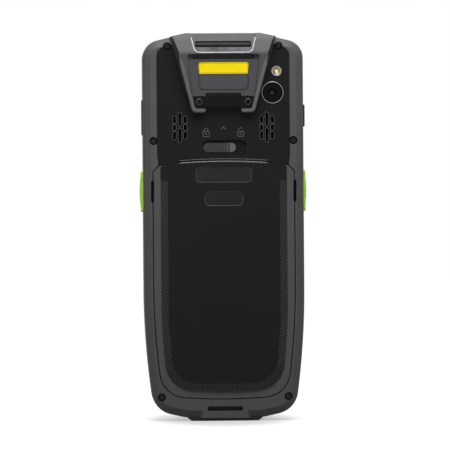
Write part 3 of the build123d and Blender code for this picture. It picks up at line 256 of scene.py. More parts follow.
def eased(corners):
    """Points along straight runs whose corners (x, y, radius) are rounded."""
    steps = 8
    path = [corners[0][:2]]
    for before, (x, y, radius), after in zip(corners, corners[1:], corners[2:]):
        here = Vector((x, y))
        back, ahead = (Vector(end[:2]) - here for end in (before, after))
        back.normalize()
        ahead.normalize()
        half = back.angle(ahead) / 2
        middle = here + (back + ahead).normalized() * (radius / sin(half))
        first, last = ((here + way * (radius / tan(half)) - middle).normalized() for way in (back, ahead))
        path += [tuple(middle + radius * first.slerp(last, step / steps)) for step in range(steps + 1)]
    return path + [corners[-1][:2]]


seam_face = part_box("cover_frame")[1].y
seam_shade_line, seam_shade_sink = 0.56, 0.00006
seam_half = [(32.15, 113.3, 1.5), (32.15, 44.0, 330.0), (28.45, 11.25, 12.0)]
seam_end, seam_foot = (29.3, 116.15), (0, 9.75, 200.0)
seam_path = ([seam_end] + seam_half + [seam_foot] + [(-x, y, r) for x, y, r in reversed(seam_half)]
             + [(-seam_end[0], seam_end[1])])
line("cover_seam_painted_shade", [(eased(seam_path), False)], seam_shade_line, (0, seam_face - seam_shade_sink, 0),
     "seal_rubber", painted_shade_black, flat=0.4)

# ---------------------------------------------------------------- cover panel
# Thin black skin bonded into the cover's frame, moulded PC with a fine matt face. Its border is a
# grip band 3.4 mm wide: slanting strokes down both sides, short concentric dashes round the foot.

panel_black = mottled("ribbed_black_pc", "#131314", "#181819", 30.0, IOR=1.54, Specular_IOR_Level=0.07)
panel_place = (put(panel_black, "TexCoord"), "Object")
panel_axes = put(panel_black, "SeparateXYZ", {0: panel_place})
panel_x = put(panel_black, "Math", {0: (panel_axes, 0)}, operation="ABSOLUTE")
# The outline: 28.7 mm to each side, drawn in towards the foot below 44 mm, with 13 mm corners
# and a foot line that sags 1 mm in the middle. Its reach is measured from the corners' middles.
bend_z, draw_in, foot_bow = 0.044, -0.084, 1.6
corner_x, corner_z = 0.0157, 0.0266
drop = put(panel_black, "Math", {0: bend_z, 1: (panel_axes, 2)}, operation="SUBTRACT")
drop = put(panel_black, "Math", {0: drop, 1: 0.0}, operation="MAXIMUM")
side = put(panel_black, "Math", {0: drop, 1: draw_in, 2: corner_x}, operation="MULTIPLY_ADD")
across = put(panel_black, "Math", {0: panel_x, 1: side}, operation="SUBTRACT")
bow = put(panel_black, "Math", {0: panel_x, 1: panel_x}, operation="MULTIPLY")
foot = put(panel_black, "Math", {0: bow, 1: foot_bow, 2: corner_z}, operation="MULTIPLY_ADD")
down = put(panel_black, "Math", {0: foot, 1: (panel_axes, 2)}, operation="SUBTRACT")
out_x = put(panel_black, "Math", {0: across, 1: 0.0}, operation="MAXIMUM")
out_z = put(panel_black, "Math", {0: down, 1: 0.0}, operation="MAXIMUM")
out_x = put(panel_black, "Math", {0: out_x, 1: out_x}, operation="MULTIPLY")
reach = put(panel_black, "Math", {0: out_z, 1: out_z, 2: out_x}, operation="MULTIPLY_ADD")
reach = put(panel_black, "Math", {0: reach}, operation="SQRT")
inner = put(panel_black, "Math", {0: across, 1: down}, operation="MAXIMUM")
inner = put(panel_black, "Math", {0: inner, 1: 0.0}, operation="MINIMUM")
reach = put(panel_black, "Math", {0: reach, 1: inner}, operation="ADD")
band_reach, band_top = 0.0096, 0.1088
band = put(panel_black, "MapRange", {"Value": reach, "From Min": band_reach,
                                     "From Max": band_reach + 0.0002})
head_end = put(panel_black, "MapRange", {"Value": (panel_axes, 2), "From Min": band_top,
                                         "From Max": band_top + 0.0002, "To Min": 1.0, "To Max": 0.0})
band = put(panel_black, "Math", {0: band, 1: head_end}, operation="MULTIPLY")


def waves(material, along, pitch):
    """A sine that repeats along a value once in each pitch."""
    turns = put(material, "Math", {0: along, 1: 2 * pi / pitch}, operation="MULTIPLY")
    return put(material, "Math", {0: turns}, operation="SINE")


# Strokes up the sides rise outwards at 45 degrees. They stand 1.15 mm apart along the side, and
# are drawn 1.5 mm apart so that they show.
stroke_pitch, ring_pitch, dash_pitch = 0.0015, 0.0009, 0.0022
slant = put(panel_black, "Math", {0: panel_x, 1: (panel_axes, 2)}, operation="SUBTRACT")
slant = put(panel_black, "MapRange", {"Value": waves(panel_black, slant, stroke_pitch),
                                      "From Max": 0.5, "To Min": -0.3})
rings = waves(panel_black, reach, ring_pitch)
dashes = waves(panel_black, (panel_axes, 0), dash_pitch)
dashes = put(panel_black, "Math", {0: rings, 1: dashes}, operation="MULTIPLY")
dashes = put(panel_black, "MapRange", {"Value": dashes, "From Min": 0.1, "From Max": 0.6, "To Max": 0.8})
at_foot = put(panel_black, "MapRange", {"Value": (panel_axes, 2), "From Min": 0.020, "From Max": 0.026,
                                        "To Min": 1.0, "To Max": 0.0})
ribs = put(panel_black, "Mix", {0: at_foot, 2: slant, 3: dashes})
ribs = put(panel_black, "Math", {0: ribs, 1: band}, operation="MULTIPLY")
panel_grain = put(panel_black, "TexNoise", {"Vector": panel_place, "Scale": 3300.0})
height = put(panel_black, "Math", {0: panel_grain, 1: 0.12, 2: ribs}, operation="MULTIPLY_ADD")
panel_bump = put(panel_black, "Bump", {"Distance": 0.00009, "Height": height})
panel_rough = put(panel_black, "MapRange", {"Value": panel_grain, "From Min": 0.3, "From Max": 0.7,
                                            "To Min": 0.5, "To Max": 0.6})
feed(panel_black, Normal=panel_bump, Roughness=panel_rough)


def overlay(material, factor, colour):
    """Lays a colour over what the material shows, as far as the factor goes."""
    under = material.node_tree.nodes["Principled BSDF"].inputs["Base Color"].links[0].from_node
    tint = put(material, "Mix", {0: factor, 6: (under, 2), 7: linear(colour)}, data_type="RGBA")
    feed(material, Base_Color=(tint, 2))


overlay(panel_black, ribs, "#3e3e40")
dress(panel_black, "cover_panel")
panel_head, panel_edge_line = arc(0, 0, 272.3, 95.9, 84.1, 30), 0.7
line("panel_wrapped_edge", [(panel_head, False)], panel_edge_line, (0, seam_face, ledge_centre_z),
     "panel_black", panel_black, body="battery_cover")


def inlay(name, outline, thickness, at, slot, material, turn=facing_back, body="terminal"):
    """A thin sheet of a thickness in mm, cut to an outline."""
    return laid(name, [(outline, True)], turn, at, body, slot, material, dimensions="2D",
                fill_mode="BOTH", extrude=thickness / 2000)


# Two film inlays lie in the panel's recesses, both left blank, with a painted highlight round each.
inlay_face, caption_z, badge_z = 0.01043, 0.1117, 0.10085
inlay_thickness, rim_margin = 0.06, 0.3
film_grey = moulded("matt_polyester_inlay", "#222223", 0.5, 0.5, 0.004, level=0.08)
film_black = moulded("gloss_polyester_inlay", "#161617", 0.2, 0.5, 0.003, level=0.12)
for name, width, depth, corner, rim_width, z, film in (
        ("caption", 24.9, 6.6, 1.4, 0.22, caption_z, film_grey),
        ("badge", 17.0, 6.1, 2.2, 0.3, badge_z, film_black)):
    inlay(name + "_inlay", rounded(width, depth, corner), inlay_thickness, (0, inlay_face, z),
          "panel_black", film, body="battery_cover")
    rim = rounded(width + rim_margin, depth + rim_margin, corner + 0.1)
    line(name + "_rim", [(rim, True)], rim_width, (0, inlay_face, z), "panel_black", painted_highlight_black,
         body="battery_cover", flat=0.6)
# A dark sheet in the pry slot on each side of the cover's head is painted shade in the slot.
pry_x, pry_y, pry_z, pry_slot, shade_sheet_thickness = 0.0323, 0.00806, 0.1043, rounded(1.2, 9.8, 0.55), 0.1
for number, side_x in enumerate((-pry_x, pry_x)):
    inlay(f"pry_slot_painted_shade_{number + 1}", pry_slot, shade_sheet_thickness, (side_x, pry_y, pry_z),
          "seal_rubber", painted_shade_black)

# ---------------------------------------------------------------- latch
# Acetal bolt that slides behind the upper plate, and the ribbed button on it, moulded ABS with a
# satin face. The button is pressed in before it slides.

dress(moulded("black_acetal", "#121213", 0.42, 0.5, 0.006, level=0.07), "latch_bolt")

button_abs = finish_of("satin_abs_button", IOR=1.54, Specular_IOR_Level=0.3)
button_place = (put(button_abs, "TexCoord"), "Object")
button_axes = put(button_abs, "SeparateXYZ", {0: button_place})
# Grooves 0.8 mm apart run from the button's one end to 1.4 mm past the terminal's middle line. A
# single one lies apart from them, before the smooth and paler end.
groove_pitch, groove_phase, grooves_end, lone_x, smooth_x = 0.0008, 0.0068, -0.0015, -0.0026, -0.003
groove = put(button_abs, "Math", {0: (button_axes, 0), 1: groove_phase}, operation="SUBTRACT")
groove = put(button_abs, "MapRange", {"Value": waves(button_abs, groove, groove_pitch),
                                      "From Min": -0.1, "From Max": 0.5})
ribbed = put(button_abs, "MapRange", {"Value": (button_axes, 0), "From Min": grooves_end,
                                      "From Max": grooves_end + 0.0002})
groove = put(button_abs, "Math", {0: groove, 1: ribbed}, operation="MULTIPLY")
lone = put(button_abs, "Math", {0: (button_axes, 0), 1: lone_x}, operation="SUBTRACT")
lone = put(button_abs, "Math", {0: lone}, operation="ABSOLUTE")
lone = put(button_abs, "MapRange", {"Value": lone, "From Min": 0.00015, "From Max": 0.0003,
                                    "To Min": 1.0, "To Max": 0.0})
groove = put(button_abs, "Math", {0: groove, 1: lone}, operation="MAXIMUM")
button_end = put(button_abs, "MapRange", {"Value": (button_axes, 0), "From Min": smooth_x,
                                          "From Max": smooth_x + 0.0002, "To Min": 1.0, "To Max": 0.0})
button_tint = put(button_abs, "Mix", {0: button_end, 6: linear("#2f2f30"), 7: linear("#4e4e50")},
                  data_type="RGBA")
button_noise = put(button_abs, "TexNoise", {"Vector": button_place, "Scale": 2500.0})
button_rough = put(button_abs, "MapRange", {"Value": button_noise, "To Min": 0.3, "To Max": 0.45})
button_height = put(button_abs, "Math", {0: groove, 1: -1.0}, operation="MULTIPLY")
button_bump = put(button_abs, "Bump", {"Distance": 0.00008, "Height": button_height})
feed(button_abs, Base_Color=(button_tint, 2), Roughness=button_rough, Normal=button_bump)
# The grooves are painted near black: painted shade in them.
overlay(button_abs, groove, "#0a0a0b")
dress(button_abs, "latch_button")

# ---------------------------------------------------------------- screws
# Black-oxide steel screws with domed heads and a cross recess, driven from the back into bosses
# in the front shell; two more hold the strap bracket. Their lighter grey marks are painted highlights.

black_oxide = mottled("black_oxide_steel", "#050506", "#131315", 1800.0, 4.0, rough=(0.28, 0.5),
                      over=(0.3, 0.7), bump=0.000008, Metallic=0.3, Specular_IOR_Level=0.12)
# Lighter grey laid on where the attribute marks it: painted highlights on the heads.
oxide_glint = put(black_oxide, "Attribute", attribute_name="glint")
overlay(black_oxide, (oxide_glint, 2), "#4c4c4e")


def pick(piece, test, kind="FACE"):
    """Enters edit mode with the faces or edges selected whose centre and normal, or ends, pass a test."""
    bpy.ops.object.mode_set(mode="OBJECT")
    bpy.ops.object.select_all(action="DESELECT")
    piece.select_set(True)
    bpy.context.view_layer.objects.active = piece
    bpy.ops.object.mode_set(mode="EDIT")
    bpy.ops.mesh.select_mode(type=kind)
    bpy.ops.mesh.select_all(action="DESELECT")
    bpy.ops.object.mode_set(mode="OBJECT")
    mesh = piece.data
    if kind == "FACE":
        for face in mesh.polygons:
            face.select = test(face.center, face.normal)
    else:
        for edge in mesh.edges:
            ends = [mesh.vertices[i].co for i in edge.vertices]
            edge.select = test(ends[0], ends[1])
    bpy.ops.object.mode_set(mode="EDIT")


def start(name, operator, **settings):
    """Adds a primitive with everything else deselected, and names it."""
    if bpy.context.object and bpy.context.object.mode != "OBJECT":
        bpy.ops.object.mode_set(mode="OBJECT")
    bpy.ops.object.select_all(action="DESELECT")
    operator(**settings)
    piece = bpy.context.object
    piece.name = name
    return piece


def cut(piece, cutter):
    """Takes a cutter out of a piece and deletes the cutter."""
    trim = piece.modifiers.new("cut", "BOOLEAN")
    trim.object = cutter
    trim.solver = "EXACT"
    bpy.context.view_layer.objects.active = piece
    bpy.ops.object.modifier_apply(modifier="cut")
    bpy.data.objects.remove(cutter)


head_radius, head_height, head_round, edge_break = 0.0017, 0.0010, 0.00045, 0.00006
shank_radius, shank_length = 0.0009, 0.003
blade_size, blade_sink, blade_taper = (0.0021, 0.00042, 0.0014), 0.0003, 0.55
flush = 1e-5
screw = start("screw_pattern", bpy.ops.mesh.primitive_cylinder_add, vertices=40,
              radius=head_radius, depth=head_height, location=(0, 0, -head_height / 2))
bpy.ops.object.transform_apply(location=True)
pick(screw, lambda centre, normal: normal.z < -0.9)
bpy.ops.mesh.inset(thickness=head_radius - shank_radius)
bpy.ops.mesh.extrude_region_move(TRANSFORM_OT_translate={"value": (0, 0, -shank_length)})
pick(screw, lambda a, b: a.z > -flush and b.z > -flush, "EDGE")
bpy.ops.mesh.bevel(offset=head_round, segments=4, affect="EDGES")
bpy.ops.object.mode_set(mode="OBJECT")
for turn in (0, pi / 2):
    blade = start("blade", bpy.ops.mesh.primitive_cube_add, size=1.0, location=(0, 0, -blade_sink),
                  rotation=(0, 0, turn), scale=blade_size)
    bpy.ops.object.transform_apply(location=True, rotation=True, scale=True)
    pick(blade, lambda centre, normal: normal.z < -0.9)
    bpy.ops.transform.resize(value=(blade_taper, blade_taper, 1.0))
    bpy.ops.object.mode_set(mode="OBJECT")
    cut(screw, blade)
pick(screw, lambda a, b: abs(a.z) < flush and abs(b.z) < flush, "EDGE")
bpy.ops.mesh.bevel(offset=edge_break, segments=1, affect="EDGES")
bpy.ops.object.mode_set(mode="OBJECT")
screw.data.attributes.new("glint", "FLOAT", "POINT")


def paint_glints(*bands):
    """Marks painted highlights on the face of the screw's head, as rings between two radii."""
    face_depth = 0.0002
    for spot, vertex in zip(screw.data.attributes["glint"].data, screw.data.vertices):
        out = vertex.co.xy.length
        spot.value = float(vertex.co.z > -face_depth and any(a < out < b for a, b in bands))


def drive(name, node, at, tilt, turn):
    """Copies the screw to a place, its head facing the back, turned to where it stopped."""
    copy = screw.copy()
    copy.data = screw.data.copy()
    copy.name = name
    bpy.context.scene.collection.objects.link(copy)
    copy.matrix_world = (Matrix.Translation(at) @ Matrix.Rotation(-pi / 2 - tilt, 4, "X")
                         @ Matrix.Rotation(turn, 4, "Z"))
    settle(copy, "terminal", black_oxide)
    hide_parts(node)


# Painted highlight round the cross of each housing screw.
paint_glints((0.0, 0.0005))
head_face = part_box("housing_screws")[1].y
top_x, top_z, middle_x, middle_z, foot_x, foot_z = 0.0253, 0.1702, 0.03175, 0.1272, 0.0288, 0.0110
for number, (x, z, turn) in enumerate((
        (top_x, top_z, 0.4), (-top_x, top_z, 1.1), (middle_x, middle_z, 0.2),
        (-middle_x, middle_z, 0.9), (foot_x, foot_z, 0.7), (-foot_x, foot_z, 0.1))):
    drive(f"housing_screw_{number + 1}", "housing_screws", (x, head_face, z), 0.0, turn)

# The hood's ridge leans back as it rises; the bracket's screws stand square to it.
# Painted highlights on the bracket screws: round the cross and in a ring near the rim.
paint_glints((0.0, 0.0003), (0.0012, 0.00145))
ridge_tilt, ridge_slope = radians(8.04), 0.1413
ridge_foot_y, ridge_foot_z = 0.0132, 0.1397
bracket_screw_x, bracket_screw_z, bracket_sink = 0.0111, 0.1446, 0.0001
bracket_face = ridge_foot_y + ridge_slope * (bracket_screw_z - ridge_foot_z) - bracket_sink
for number, (side_sign, turn) in enumerate(((1, 0.3), (-1, 0.8))):
    crown = Vector((bracket_screw_x * side_sign, bracket_face, bracket_screw_z))
    drive(f"bracket_screw_{number + 1}", "strap_bracket_screws", crown, ridge_tilt, turn)
bpy.data.objects.remove(screw)

# ---------------------------------------------------------------- scanner hood
# The label plate is bonded into the hood's recess under a blank yellow film label, and a black
# steel bracket for a hand strap is screwed across its foot. A dark red filter closes the scoop.

dress(moulded("fine_matt_abs_plate", "#3c3c3e", 0.5, 0.3, 0.006, level=0.3), "label_plate")


def outside(material, middle_z, half_x, half_z):
    """How far a place lies outside an upright rectangle, below zero within it."""
    axes = put(material, "SeparateXYZ", {0: (put(material, "TexCoord"), "Object")})
    x = put(material, "Math", {0: (axes, 0)}, operation="ABSOLUTE")
    x = put(material, "Math", {0: x, 1: half_x}, operation="SUBTRACT")
    z = put(material, "Math", {0: (axes, 2), 1: middle_z}, operation="SUBTRACT")
    z = put(material, "Math", {0: z}, operation="ABSOLUTE")
    z = put(material, "Math", {0: z, 1: half_z}, operation="SUBTRACT")
    return put(material, "Math", {0: x, 1: z}, operation="MAXIMUM")


# A dark line is printed along the film, a little inside its edge.
line_inset = 0.0004
film_yellow = mottled("printed_polyester_film", "#eed408", "#f6de08", 400.0, bump=0.00001,
                      Roughness=0.34, Specular_IOR_Level=0.2)
film_low, film_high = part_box("yellow_label")
film_edge = outside(film_yellow, (film_low.z + film_high.z) / 2, film_high.x,
                    (film_high.z - film_low.z) / 2)
film_edge = put(film_yellow, "Math", {0: film_edge, 1: line_inset}, operation="ADD")
film_edge = put(film_yellow, "Math", {0: film_edge}, operation="ABSOLUTE")
film_line = put(film_yellow, "MapRange", {"Value": film_edge, "From Min": 0.0001, "From Max": 0.0002,
                                          "To Min": 0.55, "To Max": 0.0})
overlay(film_yellow, film_line, "#6b5c00")
dress(film_yellow, "yellow_label")

dress(moulded("powder_coated_steel", "#0a0a0b", 0.45, 0.35, 0.01, level=0.08), "strap_bracket")

# A band along the filter's upper edge is painted paler, as a painted reflection.
filter_red = mottled("dark_red_filter_pmma", "#0c0809", "#130c0d", 90.0, 1.0, IOR=1.49,
                     Roughness=0.06, Specular_IOR_Level=0.1)
reflection_band_width = 0.0011
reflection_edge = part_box("scan_window")[1].z - reflection_band_width
filter_axes = put(filter_red, "SeparateXYZ", {0: (put(filter_red, "TexCoord"), "Object")})
filter_reflection = put(filter_red, "MapRange", {"Value": (filter_axes, 2), "From Min": reflection_edge - 0.0001,
                                            "From Max": reflection_edge + 0.0001})
overlay(filter_red, filter_reflection, "#343233")
dress(filter_red, "scan_window")

# The scoop's edge is rounded and painted bright as a painted highlight; the path below runs along it, in
# the brow's plane.
lip_highlight = moulded("painted_highlight_pc_abs_edge", "#8c8c8f", 0.35, 0.5, 0.004, level=0.5)
along_brow, brow_at, lip_line = (radians(71.0), 0, pi), (0, 0.01692, 0.1668), 0.75
scoop_side = [(14.6, 7.4)] + arc(10.84, 2.6, 2.6, -13.3, -90, 8)
scoop_path = scoop_side + [(-x, y) for x, y in reversed(scoop_side)]
line("scoop_lip", [(scoop_path, False)], lip_line, brow_at, "housing_grey", lip_highlight,
     turn=along_brow, flat=0.7)

# The crest of each flank is rounded too, round the hood's foot as far as the strap's channel; its lighter
# grey is a painted highlight.
crest_highlight = moulded("rounded_pc_abs_crest_painted_highlight", "#58585a", 0.42, 0.5, 0.004, level=0.2)
along_ridge, crest_y, crest_line = (pi / 2 + ridge_tilt, 0, pi), 0.01305, 1.7
crest_path = ([(8.3, 1.0, 0.5), (9.0, 1.0, 1.0)]
              + [(x, y, 1.0) for x, y in arc(12.1, 2.7, 1.7, -90, -14, 6)]
              + [(18.9, 22.5, 1.0), (20.0, 26.9, 0.1)])
crests = [(crest_path, False), ([(-x, y, taper) for x, y, taper in crest_path], False)]
line("hood_crests", crests, crest_line, (0, crest_y, ridge_foot_z), "housing_grey", crest_highlight,
     turn=along_ridge, flat=0.36)

# A thin pad lines the channel that the strap runs through, under the bracket.
pad, pad_thickness, pad_y = rounded(15.8, 4.0, 0.3, 0, 1.2), 0.1, 0.01012
inlay("strap_channel_pad", pad, pad_thickness, (0, pad_y, ridge_foot_z), "plate_black", plate_black,
      turn=along_ridge)

# The filter's polished front edge is painted paler in patches, as painted reflections.
strip_gloss = finish_of("filter_front_edge_pmma", IOR=1.49, Roughness=0.22, Specular_IOR_Level=0.4)
strip_place = (put(strip_gloss, "TexCoord"), "Object")
strip_map = put(strip_gloss, "Mapping", {"Vector": strip_place, "Scale": (150.0, 40.0, 40.0)})
strip_noise = put(strip_gloss, "TexNoise", {"Vector": strip_map, "Scale": 1.0, "Detail": 1.0})
strip_reflection_patches = put(strip_gloss, "MapRange", {"Value": strip_noise, "From Min": 0.45, "From Max": 0.6})
strip_reflection_tint = put(strip_gloss, "Mix", {0: strip_reflection_patches, 6: linear("#303032"), 7: linear("#4a4a4d")},
                 data_type="RGBA")
feed(strip_gloss, Base_Color=(strip_reflection_tint, 2))
along_scoop, scoop_at = (radians(48.16), 0, pi), (0, 0.01518, 0.16828)
strip, strip_thickness = rounded(24.2, 2.5, 0.9), 0.3
inlay("filter_front_edge", strip, strip_thickness, scoop_at, "window_dark", strip_gloss, turn=along_scoop)

# A line engraved in the label plate frames its lower part under the yellow film; its dark fill is painted
# shade in the groove.
engraved_shade = moulded("engraved_line_painted_shade", "#161617", 0.6, 0.5, 0.004, level=0.1)
frame_side = [(11.2, 7.0)] + arc(9.2, 2.0, 2.0, 0, -90, 6)
frame_path = frame_side + [(-x, y) for x, y in reversed(frame_side)]
label_at, engraved_line = (0, 0.01357, 0.1501), 0.34
line("label_engraved_line", [(frame_path, False)], engraved_line, label_at, "label_grey", engraved_shade,
     turn=along_ridge)

# ---------------------------------------------------------------- camera and flash
# A turned aluminium ring, black anodised before its rim is cut bright, holds a cover glass printed
# black round the lens and its stepped barrel. The flash is a moulded lens over a yellow phosphor.

camera_x, camera_z = -0.0224, 0.1489


def from_axis(material, x, z, depth=0.0):
    """Places measured from an axis that faces the back, and how far off they lie."""
    place = (put(material, "TexCoord"), "Object")
    moved = put(material, "Mapping", {"Vector": place, "Location": (-x, 0.0, -z),
                                      "Scale": (1.0, depth, 1.0)})
    return moved, (put(material, "VectorMath", {0: moved}, operation="LENGTH"), 1)


ring_metal = finish_of("bright_cut_anodised_aluminium", Metallic=1.0)
ring_turn, ring_far = from_axis(ring_metal, camera_x, camera_z)
ring_cut = put(ring_metal, "MapRange", {"Value": ring_far, "From Min": 0.00462, "From Max": 0.00474},
               interpolation_type="SMOOTHSTEP")
ring_wave = put(ring_metal, "TexWave", {"Vector": ring_turn, "Scale": 900.0, "Distortion": 0.4},
                wave_type="RINGS", rings_direction="Y")
ring_bright = put(ring_metal, "Mix", {0: ring_wave, 6: linear("#78787a"), 7: linear("#9a9a9e")},
                  data_type="RGBA")
ring_tint = put(ring_metal, "Mix", {0: ring_cut, 6: linear("#060607"), 7: (ring_bright, 2)},
                data_type="RGBA")
ring_rough = put(ring_metal, "MapRange", {"Value": ring_wave, "To Min": 0.22, "To Max": 0.36})
feed(ring_metal, Base_Color=(ring_tint, 2), Roughness=ring_rough)
dress(ring_metal, "camera_ring")


def spun(name, profile, at, material, smooth=35.0):
    """Turns a profile of (radius, height) points in mm about an axis that faces the back."""
    piece = start(name, bpy.ops.mesh.primitive_plane_add, size=0.001)
    piece.data.clear_geometry()
    piece.data.from_pydata([(r / 1000, 0, h / 1000) for r, h in profile],
                           [(i, i + 1) for i in range(len(profile) - 1)], [])
    bpy.ops.object.mode_set(mode="EDIT")
    bpy.ops.mesh.select_all(action="SELECT")
    bpy.ops.mesh.spin(steps=64, angle=2 * pi, center=(0, 0, 0), axis=(0, 0, 1))
    bpy.ops.mesh.select_all(action="SELECT")
    bpy.ops.mesh.remove_doubles(threshold=0.000002)
    bpy.ops.mesh.normals_make_consistent(inside=False)
    bpy.ops.object.mode_set(mode="OBJECT")
    piece.rotation_euler = (-pi / 2, 0, 0)
    piece.location = at
    return settle(piece, "terminal", material, smooth)


camera_at = Vector((camera_x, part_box("camera_window")[1].y, camera_z))
printed_glass = mottled("black_printed_cover_glass", "#030304", "#070708", 200.0, 1.0,
                        rough=(0.04, 0.1), IOR=1.52, Specular_IOR_Level=0.08)
glass_profile = [(1.75, -0.5), (1.75, -0.05), (1.8, 0), (4.1, 0), (4.32, -0.2), (4.32, -0.5),
                 (1.75, -0.5)]
spun("camera_cover_glass", glass_profile, camera_at, printed_glass)
barrel_black = moulded("anti_glare_black", "#050506", 0.6, 0.2, 0.01, level=0.05)
throat_profile = [(4.3, -1.15), (4.3, -0.56), (2.5, -0.56), (2.4, -0.64), (2.25, -0.64), (2.1, -0.8),
                  (1.9, -0.8), (1.75, -0.95), (1.55, -0.95), (1.4, -1.1), (0, -1.1), (0, -1.15),
                  (4.3, -1.15)]
throat = spun("camera_throat", throat_profile, camera_at, barrel_black)
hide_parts("camera_window")

# The lens is a cap 0.38 mm high; its coating looks darker and bluer towards the rim.
lens_coat = finish_of("magnesium_fluoride_coated_lens", IOR=1.6, Specular_IOR_Level=0.12)
coat_far = from_axis(lens_coat, camera_x, camera_z, depth=1.0)[1]
coat_span = put(lens_coat, "MapRange", {"Value": coat_far, "From Min": 0.0090, "From Max": 0.0094})
coat_tint = put(lens_coat, "Mix", {0: coat_span, 6: linear("#0d1018"), 7: linear("#18181b")},
                data_type="RGBA")
coat_rough = put(lens_coat, "MapRange", {"Value": coat_span, "To Min": 0.05, "To Max": 0.2})
feed(lens_coat, Base_Color=(coat_tint, 2), Roughness=coat_rough)
lens_half, lens_seat, lens_rise = 1.45, -1.1, 0.38
lens_profile = [(0, lens_seat + lens_rise)]
lens_profile += [(lens_half * sin(a), lens_seat + lens_rise * cos(a)) for a in (0.3, 0.6, 0.9, 1.2, 1.5)]
lens_profile += [(lens_half, -1.12), (0, -1.12)]
spun("camera_lens", lens_profile, camera_at, lens_coat)

flash_low, flash_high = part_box("flash_lens")
flash_at = Vector(((flash_low.x + flash_high.x) / 2, flash_high.y, (flash_low.z + flash_high.z) / 2))
flash_amber = finish_of("moulded_pmma_flash_lens", IOR=1.49, Roughness=0.18, Coat_Weight=0.4,
                        Coat_Roughness=0.05)
flash_far = from_axis(flash_amber, flash_at.x, flash_at.z)[1]
flash_span, flash_rim = (
    put(flash_amber, "MapRange", {"Value": flash_far, "From Min": inner, "From Max": outer},
        interpolation_type="SMOOTHSTEP") for inner, outer in ((0.0005, 0.0011), (0.0011, 0.0019)))
flash_body = put(flash_amber, "Mix", {0: flash_rim, 6: linear("#6f6452"), 7: linear("#a09894")},
                 data_type="RGBA")
flash_tint = put(flash_amber, "Mix", {0: flash_span, 6: linear("#f0e06a"), 7: (flash_body, 2)},
                 data_type="RGBA")
feed(flash_amber, Base_Color=(flash_tint, 2))
# Seven saw-toothed rings in the flash's face throw its light forward.
first_ring, ring_step, flash_half, flash_depth = 0.45, 0.26, 2.28, 2.3
flash_profile = [(0, -0.05)]
for number in range(7):
    radius = first_ring + ring_step * number
    flash_profile += [(radius, -0.02), (radius + 0.03, -0.14)]
flash_profile += [(flash_half, -0.1), (flash_half, -flash_depth), (0, -flash_depth)]
flash = spun("flash_fresnel_lens", flash_profile, flash_at, flash_amber, smooth=20.0)
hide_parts("flash_lens")
dress(moulded("module_pc", "#0f0f10", 0.5, 0.4, 0.01), "camera_module")

# ---------------------------------------------------------------- speakers
# Two cone speakers in black moulded baskets sit behind the slots, each under a woven dust screen.

# The threads stand 0.1 mm apart; they are drawn 0.5 mm apart so that they show.
thread_pitch = 0.0005
screen_cloth = finish_of("woven_polyester_screen", Roughness=0.85, Specular_IOR_Level=0.2)
screen_axes = put(screen_cloth, "SeparateXYZ", {0: (put(screen_cloth, "TexCoord"), "Object")})
warp, weft = (waves(screen_cloth, (screen_axes, axis), thread_pitch) for axis in (0, 2))
weave = put(screen_cloth, "Math", {0: warp, 1: weft}, operation="MULTIPLY")
weave_tint = put(screen_cloth, "MapRange", {"Value": weave, "From Min": -1.0})
weave_tint = put(screen_cloth, "Mix", {0: weave_tint, 6: linear("#050505"), 7: linear("#161617")},
                 data_type="RGBA")
weave_bump = put(screen_cloth, "Bump", {"Distance": 0.00004, "Height": weave})
feed(screen_cloth, Base_Color=(weave_tint, 2), Normal=weave_bump)
dress(screen_cloth, "speaker_left", "speaker_right", "earpiece")

# ---------------------------------------------------------------- side keys
# Green triggers in two-shot TPE over ABS, and the black power and rocker keys in silicone-backed
# ABS. All sit in windows in the rear shell and press domes on a strip inside.

green_tpe = moulded("green_tpe", "#a6ec12", 0.42, 0.6, 0.01, spread=0.04, level=0.2)
dress(green_tpe, "trigger_left", "trigger_right")
crown_x, crown_half = 0.0367, (0.0013, 0.0031, 0.0094)
for side_sign, side_name in ((1, "left"), (-1, "right")):
    low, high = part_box(f"trigger_{side_name}")
    crown = start(f"trigger_crown_{side_name}", bpy.ops.mesh.primitive_uv_sphere_add, segments=48,
                  ring_count=32, radius=1.0, scale=crown_half,
                  location=(side_sign * crown_x, (low.y + high.y) / 2, (low.z + high.z) / 2))
    settle(crown, f"{side_name}_trigger", green_tpe, smooth=60.0)
dress(moulded("satin_black_abs", "#121213", 0.4, 0.5, 0.006, level=0.12), "power_key", "volume_rocker")
dress(moulded("switch_strip_fr4", "#12351f", 0.5, 0.5, 0.005), "side_switches")

# ---------------------------------------------------------------- front glass and display
# Toughened cover glass, black printed behind round the display, bonded into the front shell. The
# display is off: its panel reads as a very dark blue-grey through the glass.

front_glass = finish_of("printed_toughened_glass", IOR=1.52, Roughness=0.08, Specular_IOR_Level=0.12)
lcd_low, lcd_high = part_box("lcd_module")
side_border, end_border, border_shift = 0.0022, 0.0045, 0.002
active = outside(front_glass, (lcd_low.z + lcd_high.z) / 2 + border_shift, lcd_high.x - side_border,
                 (lcd_high.z - lcd_low.z) / 2 - end_border)
active = put(front_glass, "MapRange", {"Value": active, "From Min": -0.0001, "From Max": 0.0001,
                                       "To Min": 1.0, "To Max": 0.0})
active_tint = put(front_glass, "Mix", {0: active, 6: linear("#060607"), 7: linear("#14171b")},
                  data_type="RGBA")
feed(front_glass, Base_Color=(active_tint, 2))
dress(front_glass, "touch_glass")
dress(moulded("lcd_bezel_tape", "#0c0c0d", 0.4, 0.5, 0.004), "lcd_module")

# ---------------------------------------------------------------- front keys
# Hard-capped keys in satin ABS over a silicone mat; the wide scan key is green, as the triggers are.
# Legends are laser-etched and filled in white.

facing_front = (pi / 2, 0, 0)
key_names = ["back_key", "menu_key", "key_star", "key_hash"] + [f"key_{digit}" for digit in range(10)]
dress(moulded("satin_abs_keycap", "#262627", 0.38, 0.5, 0.005), *key_names)
dress(moulded("green_abs_keycap", "#86c414", 0.38, 0.5, 0.005, spread=0.04), "scan_key")
legend_white = mottled("filled_legend", "#c9c9c6", "#dededb", 2000.0, Roughness=0.5)


